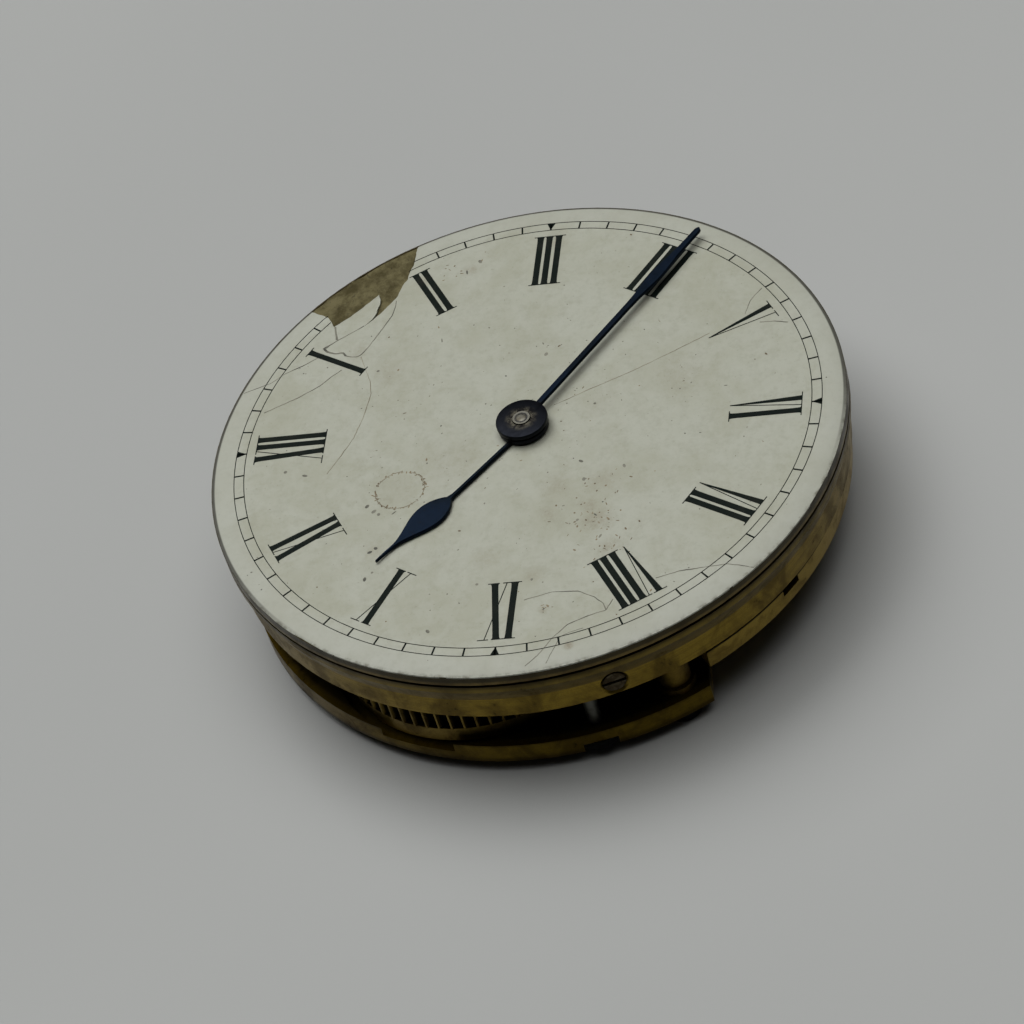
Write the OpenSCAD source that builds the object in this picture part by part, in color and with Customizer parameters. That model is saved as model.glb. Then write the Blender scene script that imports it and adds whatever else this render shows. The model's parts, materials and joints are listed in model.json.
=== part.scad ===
// Key-wound pocket watch movement: dial, hands, motion work, two plates, going train,
// lever escapement, balance and winding work. Dial up, millimetres.
// Places on the dial are clock angles: degrees clockwise from 12, with 12 along +Y.

/* [Plates] */
// Radius of the dial and of the pillar plate's flange under it
dial_r = 20; // [19.8:0.05:20.6]
// How far the flange stands out past the plate's lower edge, which enters the case
flange_w = 0.36; // [0.24:0.02:0.5]
// Height of that lower edge
case_fit_h = 1.5; // [1.4:0.1:1.8]
// Height of the flange's straight edge
flange_h = 0.5; // [0.3:0.1:0.8]
// Thickness of the pillar plate
plate_t = 3; // [2.9:0.05:3.4]
// Radius of the three-quarter plate
back_r = 19.35; // [19.2:0.05:19.45]
// Thickness of the three-quarter plate
back_t = 1.4; // [1.4:0.05:1.8]
// Distance between the two plates
pillar_h = 3.1; // [3.1:0.05:3.5]

/* [Dial] */
// Gap between the pillar plate and the dial
dial_gap = 0.2; // [0.1:0.05:0.3]
// Thickness of the dial's copper base
dial_base_t = 0.45; // [0.3:0.05:0.6]
// Thickness of the enamel
enamel_t = 0.45; // [0.3:0.05:0.6]
// Drop of the enamel at its rounded edge
enamel_drop = 0.19; // [0.1:0.01:0.25]
// Width of that rounded edge
enamel_edge_w = 1.1; // [0.6:0.1:1.6]
// Width of the base's upturned rim, which holds the enamel
dial_rim_w = 0.12; // [0.08:0.01:0.2]
// Radius of the hole for the hands
dial_hole_r = 1.35; // [1.3:0.05:1.5]
// Distance of the dial feet from the pillar plate's lower edge
foot_from_edge = 2.44; // [2.2:0.02:2.8]
// Radius of a dial foot
foot_r = 0.5; // [0.4:0.05:0.6]
// Clock angle of the first dial foot and of its side screw
foot_clock = 250.6; // [248:0.2:252]
// Height of the side screws above the pillar plate's lower face
side_screw_up = 0.9; // [0.8:0.05:1]
// Radius of a side screw's head
side_head_r = 0.7; // [0.6:0.02:0.72]

/* [Pillars and screws] */
// Clock angles of the four pillars
pillar_clocks = [50, 140, 239, 325]; // [0:1:360]
// Radius of the circle of pillars
pillar_orbit = 17.7; // [17.4:0.05:17.9]
// Radius of a pillar's body
pillar_r = 1; // [0.85:0.05:1.1]
// Radius of a pillar's end flanges
pillar_flange_r = 1.25; // [1.15:0.05:1.4]
// Height of a pillar's end flange
pillar_flange_h = 0.45; // [0.3:0.05:0.6]
// Radius of a pillar screw's head
pillar_head_r = 1.2; // [1:0.05:1.4]
// Height of a pillar screw's head, on which the movement stands
pillar_head_h = 1; // [0.95:0.05:1.2]
// Clock angles of the two case screws
case_screw_clocks = [76, 256]; // [0:0.5:360]
// Radius of the circle of case screws
case_screw_orbit = 18.2; // [18:0.05:18.3]
// Radius of a case screw's shank
case_shank_r = 0.45; // [0.35:0.05:0.5]
// Radius of a case screw's head
case_head_r = 1.25; // [1.1:0.05:1.35]

/* [Hands] */
// Clock angle of the minute hand at rest
minute_clock = 122.2; // [0:0.1:360]
// Length of the minute hand
minute_l = 18.5; // [17:0.1:19]
// Width of the minute hand's stem
minute_w = 0.46; // [0.3:0.02:0.6]
// Width of the minute hand where it swells
minute_leaf_w = 0.86; // [0.6:0.02:1.2]
// Clock angle of the hour hand at rest
hour_clock = 307.5; // [0:0.1:360]
// Length of the hour hand
hour_l = 12.8; // [11:0.1:14]
// Width of the hour hand's stem
hour_w = 0.32; // [0.24:0.02:0.5]
// Width of the hour hand's leaf
hour_leaf_w = 2.05; // [1.4:0.05:2.4]
// Thickness of both hands
hand_t = 0.18; // [0.12:0.02:0.24]
// Radius of the minute hand's boss
minute_boss_r = 1.63; // [1.5:0.01:1.8]
// Radius of the hour hand's boss
hour_boss_r = 1.58; // [1.5:0.01:1.8]

/* [Train] */
// Clock angle of the barrel
barrel_clock = 290; // [286:1:292]
// Teeth on the barrel
barrel_n = 70; // [70:1:70]
// Leaves of the centre pinion
centre_pinion_n = 10; // [10:1:10]
// Module of the barrel's teeth
barrel_m = 0.25; // [0.24:0.005:0.25]
// Height of the barrel's toothed band
barrel_tooth_h = 2.1; // [1.9:0.05:2.2]
// Outer radius of the barrel's drum below the teeth
drum_r = 8.95; // [8.6:0.05:8.95]
// Wall of the drum
drum_wall = 0.9; // [0.7:0.05:1]
// Turns of the mainspring
mainspring_turns = 8; // [6:0.5:8]
// Thickness of the mainspring
mainspring_t = 0.2; // [0.14:0.02:0.2]
// Teeth on the centre wheel
centre_n = 64; // [64:1:64]
// Module of the centre wheel's teeth
centre_m = 0.2; // [0.19:0.005:0.2]
// Clock angle of the third wheel
third_clock = 46; // [46:1:52]
// Leaves of the third and fourth pinions
pinion_n = 8; // [8:1:8]
// Teeth on the third wheel
third_n = 60; // [60:1:60]
// Module of the third wheel's teeth
third_m = 0.17; // [0.165:0.005:0.17]
// Clock bearing from the third wheel to the fourth
fourth_bearing = 157.5; // [154:0.5:160]
// Teeth on the fourth wheel
fourth_n = 56; // [56:1:56]
// Leaves of the escape pinion
escape_pinion_n = 7; // [7:1:7]
// Module of the fourth wheel's teeth
fourth_m = 0.15; // [0.145:0.005:0.15]
// Clock bearing from the fourth wheel to the escape wheel
escape_bearing = 201.2; // [198:0.5:204]
// Thickness of the train wheels
wheel_t = 0.3; // [0.24:0.02:0.34]

/* [Escapement] */
// Teeth on the escape wheel
escape_n = 15; // [15:1:15]
// Radius of the escape wheel's tooth tips
escape_r = 2.8; // [2.6:0.05:2.9]
// Thickness of the escape wheel
escape_t = 0.2; // [0.16:0.02:0.26]
// Distance from the escape wheel to the lever's arbor
pallet_dist = 3.4; // [3.35:0.05:3.6]
// Thickness of the lever
lever_t = 0.3; // [0.24:0.02:0.34]
// Swing of the lever to each side
lever_swing = 5; // [4:0.5:6]
// Clock angle of the balance
balance_clock = 190; // [188:1:192]
// Room between the balance and the cock's foot
cock_clear = 0.74; // [0.5:0.02:0.8]
// Outer radius of the balance rim
balance_r = 5.8; // [5.5:0.05:5.8]
// Width of the balance rim
balance_rim_w = 0.6; // [0.5:0.05:0.8]
// Height of the balance rim
balance_h = 0.6; // [0.5:0.05:0.6]
// Number of balance screws
balance_screw_n = 12; // [8:2:16]
// Turns of the hairspring
hairspring_turns = 4.5; // [3.5:0.5:4.5]
// Thickness of the hairspring's strip
hairspring_t = 0.08; // [0.06:0.01:0.1]
// Outer radius of the hairspring
hairspring_r = 3.1; // [3:0.05:3.2]

/* [Cock and winding] */
// Clock angles between which the cock's foot reaches along the rim
cock_foot_clocks = [152, 233.5]; // [150:0.5:234]
// Clock angle of the cock's arm where it meets the foot
cock_arm_clock = 175; // [172:1:180]
// Outer radius of the cock's foot
cock_foot_r = 19.4; // [19.2:0.05:19.4]
// Radial width of the cock's foot
cock_foot_w = 2.8; // [2.6:0.05:3]
// Height of the wide upper part of the foot
cock_foot_h = 1.65; // [1.5:0.05:2]
// Thickness of the cock's table
cock_t = 0.6; // [0.5:0.05:0.65]
// Radius of the cock's round table
cock_table_r = 3.7; // [3.6:0.05:4]
// Swing of the regulator to each side
regulator_swing = 20; // [10:1:22]
// Teeth on the ratchet wheel
ratchet_n = 24; // [18:1:30]
// Radius of the ratchet wheel
ratchet_r = 3; // [2.6:0.05:3.2]
// Thickness of the ratchet wheel and click
ratchet_t = 0.4; // [0.3:0.02:0.42]
// Width across the flats of the winding square
square_w = 1.2; // [1:0.05:1.3]

/* [Hidden] */
$fn = 64;

// Clearances
run_clear = 0.02;      // a pivot in its hole, all round
seat_clear = 0.01;     // a piece pressed into its seat, all round
screw_clear = 0.03;    // a screw's shank in its hole, all round
air = 0.3;             // between pieces that pass one another
end_shake = 0.05;      // an arbor between its shoulders
cut = 0.05;            // how far a cutting shape runs past a face

// Levels, from the screw heads on which the movement stands up to the dial
back_z0 = pillar_head_h;
back_z1 = back_z0 + back_t;
plate_z0 = back_z1 + pillar_h;
plate_z1 = plate_z0 + plate_t;
base_z0 = plate_z1 + dial_gap;
base_z1 = base_z0 + dial_base_t;
dial_z = base_z1 + enamel_t;

function polar(r, c) = [r * sin(c), r * cos(c)];
function bearing(a, b) = atan2(b[0] - a[0], b[1] - a[1]);
function span(a, b) = norm(b - a);
function pair_dist(n1, n2, m) = (n1 + n2) * m / 2;

// Circles that follow from the edges they keep to
case_fit_r = dial_r - flange_w;
foot_orbit = case_fit_r - foot_from_edge;
foot_inner_r = cock_foot_r - cock_foot_w;
bal_screw_l = 0.45;
balance_reach = balance_r + seat_clear + bal_screw_l;
balance_orbit = foot_inner_r - cock_clear - balance_reach;

// Places of the arbors
barrel_p = polar(pair_dist(barrel_n, centre_pinion_n, barrel_m), barrel_clock);
third_p = polar(pair_dist(centre_n, pinion_n, centre_m), third_clock);
fourth_p = third_p + polar(pair_dist(third_n, pinion_n, third_m), fourth_bearing);
escape_p = fourth_p + polar(pair_dist(fourth_n, escape_pinion_n, fourth_m), escape_bearing);
balance_p = polar(balance_orbit, balance_clock);
lever_bearing = bearing(escape_p, balance_p);
pallet_p = escape_p + polar(pallet_dist, lever_bearing);
lever_reach = span(pallet_p, balance_p);

// Tooth forms, in modules and in shares of the pitch
wheel_add = 1;
wheel_ded = 1.3;
wheel_root = 0.25;
wheel_flank = 0.2;
wheel_tip = 0.07;
leaf_add = 0.65;
leaf_ded = 1.35;
leaf_flank = 0.18;
leaf_tip = 0.08;

// Levels of the train, hung from the pillar plate
wheel_gap = 0.45;
sink_clear = 0.22;
sink_side = 0.12;
centre_t = 0.36;
centre_sink_d = 2 * sink_clear + centre_t;
centre_z0 = plate_z0 + sink_clear;
centre_z1 = centre_z0 + centre_t;
barrel_z1 = plate_z0 - air;
tooth_z0 = barrel_z1 - barrel_tooth_h;
barrel_sink_d = 0.65;
barrel_sink_side = 0.52;
sink_floor_gap = 0.35;
barrel_z0 = back_z1 - barrel_sink_d + sink_floor_gap;
third_z1 = plate_z0 - wheel_gap;
third_z0 = third_z1 - wheel_t;
fourth_z1 = third_z0 - wheel_gap;
fourth_z0 = fourth_z1 - wheel_t;
lever_z1 = fourth_z0 - wheel_gap;
lever_z0 = lever_z1 - lever_t;
escape_z0 = lever_z0 + (lever_t - escape_t) / 2;
pallet_cock_t = 0.35;
level_gap = 0.4;
pallet_cock_z1 = lever_z0 - level_gap;
pallet_cock_z0 = pallet_cock_z1 - pallet_cock_t;
balance_z1 = pallet_cock_z0 - level_gap;
balance_z0 = balance_z1 - balance_h;
hairspring_h = 0.2;
hair_gap = 0.25;
cock_gap = 0.15;
hairspring_z1 = balance_z0 - hair_gap;
hairspring_z0 = hairspring_z1 - hairspring_h;
cock_z1 = hairspring_z0 - cock_gap;
cock_z0 = cock_z1 - cock_t;
regulator_t = 0.2;
regulator_z1 = cock_z0 - run_clear;
regulator_z0 = regulator_z1 - regulator_t;

// Arbors, pivots and jewels
arbor_r = 0.35;
pivot_r = 0.12;
balance_pivot_r = 0.08;
jewel_r = 0.75;
small_jewel_r = 0.6;
pallet_jewel_r = 0.42;
jewel_t = 0.55;
oil_hole_r = 0.3;
pinion_over = 0.12;
hub_r = 1;
centre_hub_r = 1.5;
shoulder = 0.1;
arm_w = 0.55;
wheel_arms = 4;
wheel_rim_w = 0.75;

// Centre arbor, motion work and hands
centre_pivot_r = 0.55;
centre_body_r = 0.8;
centre_post_r = 0.38;
centre_square = 0.77;
bush_r = 0.95;
cannon_n = 12;
minute_n = 36;
minute_pinion_n = 10;
hour_n = 40;
motion_m = 0.15;
motion_dist = pair_dist(cannon_n, minute_n, motion_m);
hour_m = 2 * motion_dist / (minute_pinion_n + hour_n);
motion_clock = 180;
motion_p = polar(motion_dist, motion_clock);
motion_sink_d = 1.3;
motion_floor_gap = 0.15;
motion_step = 0.1;
motion_z0 = plate_z1 - motion_sink_d + motion_floor_gap;
motion_t = 0.28;
cannon_leaf_h = 0.5;
hour_wheel_z0 = motion_z0 + cannon_leaf_h + motion_step;
hour_wheel_z1 = hour_wheel_z0 + motion_t;
cannon_pipe_r = 0.72;
cannon_end_r = 0.55;
hour_pipe_r = 1.14;
post_r = 0.3;
boss_gap = 0.08;
hour_boss_up = 0.12;
hour_boss_z0 = dial_z + hour_boss_up;
hour_boss_h = 0.34;
hour_boss_z1 = hour_boss_z0 + hour_boss_h;
minute_boss_z0 = hour_boss_z1 + boss_gap;
minute_boss_h = 0.36;
minute_boss_z1 = minute_boss_z0 + minute_boss_h;
cannon_proud = 0.06;
cannon_z1 = minute_boss_z1 + cannon_proud;
hand_steps = 28;
tip_steps = 6;
leaf_from = 7;
leaf_to = 11.3;
leaf_skew = 0.66;
hour_point_loss = 0.5;
swell_at = 14.2;
swell_spread = 1.7;

// Barrel, winding work and click
barrel_floor_t = 0.4;
cover_t = 0.35;
cover_lip = 0.2;
core_r = 2.2;
winding_r = 0.95;
barrel_pivot_r = 0.6;
barrel_pivot_l = 1;
ratchet_sink_d = ratchet_t + 2 * end_shake;
ratchet_z0 = back_z0 + end_shake;
ratchet_root = 0.42;
ratchet_undercut = 0.12;
square_z0 = end_shake;
click_out = 1.4;
click_dist = ratchet_r + click_out;
click_bearing = 20;
click_ahead = -35;
click_clear = 0.06;
click_boss_r = 0.8;
click_arm_w = 1.1;
click_p = barrel_p + polar(click_dist, click_bearing);
click_tip = barrel_p + polar(ratchet_r + click_clear, click_bearing + click_ahead);
click_pocket_r = 3.3;
click_shank_r = 0.3;
click_head_r = 0.6;
click_head_t = 0.3;
spring_block_r = 0.6;
spring_head_r = 0.5;
spring_strip_t = 0.15;
spring_foot_out = 2.15;
spring_foot_turn = -8;
spring_end_out = 2.2;
spring_end_turn = -122;
spring_foot_p = click_p + polar(spring_foot_out, click_bearing + spring_foot_turn);
spring_end_p = click_p + polar(spring_end_out, click_bearing + spring_end_turn);

// Pillars, screws and dial fixings
tenon_r = 0.7;
tenon_l = 1.4;
screw_r = 0.5;
pillar_screw_l = 2.9;
slot_w = 0.22;
slot_d = 0.25;
case_recess_r = case_head_r + air;
case_web = 0.8;
case_recess_d = back_t - case_web;
case_head_h = case_recess_d - end_shake;
case_screw_in = 2;
foot_clear = 0.03;
foot_web = 0.5;
foot_in = plate_t - foot_web;
side_shank_r = 0.4;
side_head_l = 0.75;
side_inset = 0.06;
side_seat_w = 0.2;
foot_n = 3;
feet = [for (i = [0:foot_n - 1]) foot_clock + i * 360 / foot_n];
dial_seat_inset = 1.4;
dial_seat_r = dial_r - dial_seat_inset;
dial_seat_w = 0.6;

// Balance, cock and lever
foot_z0 = plate_z0 - cock_foot_h;
cock_step = 1.4;
cock_neck_half = 11;
cock_neck_clocks = [cock_arm_clock - cock_neck_half, cock_arm_clock + cock_neck_half];
cock_arm_w = 4.4;
cock_screw_orbit = (foot_inner_r + cock_foot_r - cock_step) / 2;
cock_screw_p = polar(cock_screw_orbit, cock_arm_clock);
cock_screw_r = 0.42;
cock_head_r = 0.72;
cock_head_h = 0.55;
steady_r = 0.3;
steady_in = 1.1;
steady_from_ends = [6, 8];
steady_clocks = [cock_foot_clocks[0] + steady_from_ends[0], cock_foot_clocks[1] - steady_from_ends[1]];
pry_clocks = [210.7, 215.1];
pry_h = 0.9;
pry_d = 1.5;
foot_seam_h = 0.36;
foot_seam_d = 0.35;
foot_seam_past = 1;
gap_side = 1.2;
gap_r = balance_r + gap_side;
gap_past_foot = 5;
gap_before_pillar = 4.5;
gap_clocks = [cock_foot_clocks[0] - gap_past_foot, pillar_clocks[2] - gap_before_pillar];
cap_r = 0.95;
cap_t = 0.24;
cap_screw_r = 0.15;
cap_screw_orbit = 0.62;
endstone_r = 0.4;
endstone_t = 0.15;
cock_jewel_t = cock_t - endstone_t;
regulator_r = 1.5;
regulator_hole_r = cap_r + run_clear;
regulator_arm_w = 0.6;
regulator_l = 5.2;
curb_pin_r = 0.08;
curb_spread = 0.2;
curb_back = 60;
hair_inner = 0.8;
hair_pitch = (hairspring_r - hair_inner) / hairspring_turns;
hair_end_clock = balance_clock + 130;
curb_clock = hair_end_clock - curb_back;
curb_orbit = hairspring_r - hair_pitch * curb_back / 360;
curb_room = 0.1;
curb_slot_w = 2 * (curb_spread + curb_pin_r + curb_room);
curb_slot_more = 6;
stud_r = 0.3;
collet_r = 0.7;
staff_r = 0.4;
staff_seat_r = 0.5;
collet_seat_r = 0.34;
balance_hub_r = 1;
balance_arm_w = 0.9;
rim_gap = 6;
bal_screw_r = 0.24;
bal_shank_r = 0.1;
roller_r = 1.25;
roller_t = 0.25;
roller_gap = 0.2;
roller_z0 = lever_z1 + roller_gap;
impulse_orbit = 0.9;
impulse_r = 0.2;
impulse_clear = 0.08;
lever_w = 0.5;
fork_w = 1.3;
fork_l = 0.7;
notch_play = 0.08;
notch_w = 2 * impulse_r + notch_play;
notch_d = 0.5;
fork_at = lever_reach - impulse_orbit + impulse_r;
stone_angle = 30;
stone_w = 0.35;
stone_l = 0.75;
stone_clear = 0.2;
pallet_arm_w = 0.45;
pallet_boss_r = 0.45;
banking_r = 0.12;
banking_from_fork = 1.43;
banking_at = fork_at - banking_from_fork;
banking_play = 0.04;
banking_side = banking_at * sin(lever_swing) + lever_w / 2 + banking_r + banking_play;
banking_in = 0.8;
banking_over = 0.1;
pallet_leg_r = 1.15;
pallet_leg_dist = 3.2;
pallet_leg_p = pallet_p + polar(pallet_leg_dist, lever_bearing - 90);
pallet_bar_w = 1.4;
pallet_screw_r = 0.35;
pallet_head_r = 0.6;
pallet_head_h = 0.25;
pallet_screw_in = 1;

// Chip in the enamel at the dial's edge: corners chosen on the dial's face
chip_reach = 23;
chip_pts = [polar(chip_reach, 64), polar(chip_reach, 39), [11.7, 14.1], [10.8, 13.6], [12.4, 11.8],
    [13.4, 10.9], [12.6, 10.7], [10.6, 11.5], [12.7, 9.9], [14.6, 9.2], [16, 8.9]];

// Shared shapes
module at(p, z = 0) translate([p[0], p[1], z]) children();

module turned(c) rotate([0, 0, -c]) children();

module disc(r, z0, z1) translate([0, 0, z0]) cylinder(r = r, h = z1 - z0);

module ring(ro, ri, z0, z1) {
    difference() {
        disc(ro, z0, z1);
        disc(ri, z0 - cut, z1 + cut);
    }
}

module sector(r0, r1, z0, z1, c0, c1) {
    rotate([0, 0, 90 - c1]) rotate_extrude(angle = c1 - c0) translate([r0, z0]) square([r1 - r0, z1 - z0]);
}

module slab(z0, z1) translate([0, 0, z0]) linear_extrude(z1 - z0) children();

module bar(a, b, w) {
    at(a) turned(bearing(a, b)) translate([-w / 2, 0]) square([w, span(a, b)]);
}

module gear_2d(n, m, add, ded, root, flank, tip) {
    pitch = 360 / n;
    r = n * m / 2;
    polygon([for (i = [0:n - 1]) each [
        polar(r - ded * m, (i - root) * pitch),
        polar(r, (i - flank) * pitch),
        polar(r + add * m, (i - tip) * pitch),
        polar(r + add * m, (i + tip) * pitch),
        polar(r, (i + flank) * pitch),
        polar(r - ded * m, (i + root) * pitch)]]);
}

// A wheel has a tooth towards the bearing c, and the pinion facing it has a space there
module wheel_2d(n, m, c) turned(c) gear_2d(n, m, wheel_add, wheel_ded, wheel_root, wheel_flank, wheel_tip);

module pinion_2d(n, m, c) {
    turned(c + 180 / n) gear_2d(n, m, leaf_add, leaf_ded, leaf_flank, leaf_flank, leaf_tip);
}

// A wheel with windows cut between its arms
module crossed_wheel(z0, z1, n, m, c, boss_r, bore_r, arms) {
    inner_r = n * m / 2 - wheel_ded * m - wheel_rim_w;
    difference() {
        slab(z0, z1) wheel_2d(n, m, c);
        windows(inner_r, boss_r, z0, z1, arms, arm_w);
        disc(bore_r, z0 - cut, z1 + cut);
    }
}

module windows(ro, ri, z0, z1, arms, w) {
    difference() {
        ring(ro, ri, z0 - cut, z1 + cut);
        for (i = [0:arms - 1]) turned(i * 360 / arms) {
            translate([-w / 2, 0, z0 - 2 * cut]) cube([w, ro + cut, z1 - z0 + 4 * cut]);
        }
    }
}

spiral_steps = 30;

function spiral(r0, r1, turns, off) = let (steps = floor(turns * spiral_steps))
    [for (i = [0:steps]) polar(r0 + (r1 - r0) * i / steps + off, 360 * turns * i / steps)];

function reversed(v) = [for (i = [len(v) - 1:-1:0]) v[i]];

module spiral_2d(r0, r1, turns, t) {
    polygon(concat(spiral(r0, r1, turns, -t / 2), reversed(spiral(r0, r1, turns, t / 2))));
}

// An arbor with a pivot at each end: shoulders at z0 and z1, pivots of length l
module pivoted(z0, z1, r, rp, l) {
    disc(r, z0, z1);
    disc(rp, z0 - l, z1 + l);
}

module jewel(r, z0, t, hole_r) ring(r - seat_clear, hole_r + run_clear, z0, z0 + t);

// A screw hanging head down: the head's flat outer face at z, the shank up to z_end
module screw(z, head_r, head_h, shank_r, z_end) {
    difference() {
        union() {
            disc(head_r, z, z + head_h);
            disc(shank_r, z, z_end);
        }
        translate([-head_r - cut, -slot_w / 2, z - cut]) cube([2 * (head_r + cut), slot_w, slot_d + cut]);
    }
}

// A shape that lies along a radius at clock angle c and height z, starting r from the centre
module radial(c, r, z) turned(c) translate([0, r, z]) rotate([-90, 0, 0]) children();

// Frame
module jewel_seat(p, r, z0, t, z_out) {
    at(p) disc(r, min(z0, z0 + t) - (z_out > z0 ? cut : 0), max(z0, z0 + t) + (z_out > z0 ? 0 : cut));
    at(p) disc(oil_hole_r, min(z0, z_out) - cut, max(z0, z_out) + cut);
}

// Place, lower level, hole and radius of each jewel in the pillar plate
top_jewels = [[third_p, plate_z0 + centre_sink_d, pivot_r, jewel_r],
    [fourth_p, plate_z0, pivot_r, small_jewel_r], [escape_p, plate_z0, pivot_r, small_jewel_r],
    [pallet_p, plate_z0, pivot_r, pallet_jewel_r], [balance_p, plate_z0, balance_pivot_r, jewel_r]];
back_jewels = [third_p, fourth_p, escape_p];

module pillar_plate() color("darkgoldenrod") {
    difference() {
        // Turned with its seam midway between two dial feet
        turned(foot_clock + 90) rotate_extrude($fn = 180) polygon([[0, plate_z0], [case_fit_r, plate_z0],
            [case_fit_r, plate_z0 + case_fit_h], [dial_r, plate_z1 - flange_h], [dial_r, plate_z1],
            [0, plate_z1]]);
        // Sinks for the centre wheel and third pinion below, and for the motion work above
        disc(pair_dist(centre_n, 0, centre_m) + centre_m + sink_side, plate_z0 - cut,
            plate_z0 + centre_sink_d);
        at(third_p) disc(pair_dist(pinion_n, 0, centre_m) + centre_m + air, plate_z0 - cut,
            plate_z0 + centre_sink_d);
        disc(pair_dist(hour_n, 0, hour_m) + hour_m + air, plate_z1 - motion_sink_d, plate_z1 + cut);
        at(motion_p) disc(pair_dist(minute_n, 0, motion_m) + motion_m + air, plate_z1 - motion_sink_d,
            plate_z1 + cut);
        disc(bush_r, plate_z0, plate_z1);
        at(motion_p) disc(post_r, plate_z0 + centre_sink_d - cut, plate_z1);
        at(barrel_p) disc(barrel_pivot_r + run_clear, plate_z0 - cut, plate_z0 + barrel_pivot_l + end_shake);
        for (j = top_jewels) jewel_seat(j[0], j[3], j[1], jewel_t, plate_z1);
        for (c = pillar_clocks) at(polar(pillar_orbit, c)) disc(tenon_r, plate_z0 - cut, plate_z0 + tenon_l);
        for (c = case_screw_clocks) at(polar(case_screw_orbit, c)) {
            disc(case_shank_r + screw_clear, plate_z0 - cut, plate_z0 + case_screw_in + end_shake);
        }
        for (c = feet) {
            at(polar(foot_orbit, c)) disc(foot_r + foot_clear, plate_z1 - foot_in - end_shake,
                plate_z1 + cut);
            side_screw_hole(c);
        }
        at(cock_screw_p) disc(cock_screw_r + screw_clear, plate_z0 - cut,
            plate_z0 + steady_in + 2 * end_shake);
        for (c = steady_clocks) at(polar(cock_screw_orbit, c)) {
            disc(steady_r + seat_clear, plate_z0 - cut, plate_z0 + steady_in + end_shake);
        }
        banking_places() disc(banking_r + seat_clear, plate_z0 - cut, plate_z0 + banking_in + end_shake);
        at(pallet_leg_p) disc(pallet_screw_r + screw_clear, plate_z0 - cut,
            plate_z0 + pallet_screw_in + end_shake);
    }
}

side_z = plate_z0 + side_screw_up;
side_seat_r = case_fit_r - side_inset - side_head_l;
side_tip_r = foot_orbit + foot_r + foot_clear + end_shake;

module side_screw_hole(c) {
    radial(c, foot_orbit, side_z) {
        cylinder(r = side_shank_r + screw_clear, h = side_seat_r - foot_orbit + cut);
    }
    radial(c, side_seat_r, side_z) {
        cylinder(r = side_head_r + screw_clear, h = dial_r - side_seat_r + cut);
    }
    radial(c, case_fit_r - side_seat_w, side_z) {
        cylinder(r1 = side_head_r, r2 = side_head_r + 2 * side_seat_w, h = 2 * side_seat_w);
    }
}

module dial_screws() color("silver") {
    for (c = feet) difference() {
        union() {
            radial(c, side_tip_r, side_z) cylinder(r = side_shank_r, h = side_seat_r - side_tip_r + cut);
            radial(c, side_seat_r, side_z) cylinder(r = side_head_r, h = side_head_l);
        }
        radial(c, side_seat_r + side_head_l - slot_d, side_z) {
            translate([-dial_r, -slot_w / 2, 0]) cube([2 * dial_r, slot_w, slot_d + cut]);
        }
    }
}

module balance_gap_2d() {
    at(balance_p) circle(r = gap_r);
    at(pallet_leg_p) circle(r = pallet_leg_r + air);
    polygon([balance_p, polar(2 * back_r, gap_clocks[0]), polar(2 * back_r, balance_clock),
        polar(2 * back_r, gap_clocks[1]), polar(back_r, gap_clocks[1])]);
}

module three_quarter_plate() color("goldenrod") {
    difference() {
        disc(back_r, back_z0, back_z1, $fn = 180);
        slab(back_z0 - cut, back_z1 + cut) balance_gap_2d();
        // The barrel's sink breaks through the plate's edge
        at(barrel_p) disc(pair_dist(barrel_n, 0, barrel_m) + barrel_m + barrel_sink_side,
            back_z1 - barrel_sink_d, back_z1 + cut);
        at(barrel_p) disc(winding_r + run_clear, back_z0 - cut, back_z1);
        at(barrel_p) disc(ratchet_r + air, back_z0 - cut, back_z0 + ratchet_sink_d);
        at(click_p) disc(click_pocket_r, back_z0 - cut, back_z0 + ratchet_sink_d);
        at(click_p) disc(click_shank_r + screw_clear, back_z0, back_z1 - barrel_sink_d + cut);
        at(spring_foot_p) disc(click_shank_r + screw_clear, back_z0, back_z1 - barrel_sink_d + cut);
        disc(bush_r, back_z0 - cut, back_z1 + cut);
        for (p = back_jewels) jewel_seat(p, jewel_r, back_z1, -jewel_t, back_z0);
        for (c = pillar_clocks) at(polar(pillar_orbit, c)) {
            disc(screw_r + screw_clear, back_z0 - cut, back_z1 + cut);
        }
        for (c = case_screw_clocks) at(polar(case_screw_orbit, c)) {
            disc(case_shank_r + screw_clear, back_z0 - cut, back_z1 + cut);
            disc(case_recess_r, back_z0 - cut, back_z0 + case_recess_d);
        }
    }
}

module pillars() color("goldenrod") {
    for (c = pillar_clocks) at(polar(pillar_orbit, c)) difference() {
        union() {
            disc(tenon_r - seat_clear, plate_z0, plate_z0 + tenon_l - end_shake);
            disc(pillar_flange_r, plate_z0 - pillar_flange_h, plate_z0);
            disc(pillar_r, back_z1, plate_z0);
            disc(pillar_flange_r, back_z1, back_z1 + pillar_flange_h);
        }
        disc(screw_r + screw_clear, back_z1 - cut, back_z0 + pillar_screw_l + air);
    }
}

module pillar_screws() color("steelblue") {
    for (c = pillar_clocks) at(polar(pillar_orbit, c)) turned(c) {
        screw(0, pillar_head_r, pillar_head_h, screw_r, back_z0 + pillar_screw_l);
    }
}

module case_screws() color("silver") {
    for (c = case_screw_clocks) at(polar(case_screw_orbit, c)) turned(c) {
        screw(back_z0, case_head_r, case_head_h, case_shank_r, plate_z0 + case_screw_in);
    }
}

module pillar_plate_jewels() color("crimson") {
    for (j = top_jewels) at(j[0]) jewel(j[3], j[1], jewel_t, j[2]);
}

module back_plate_jewels() color("crimson") {
    for (p = back_jewels) at(p) jewel(jewel_r, back_z1 - jewel_t, jewel_t, pivot_r);
}

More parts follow.
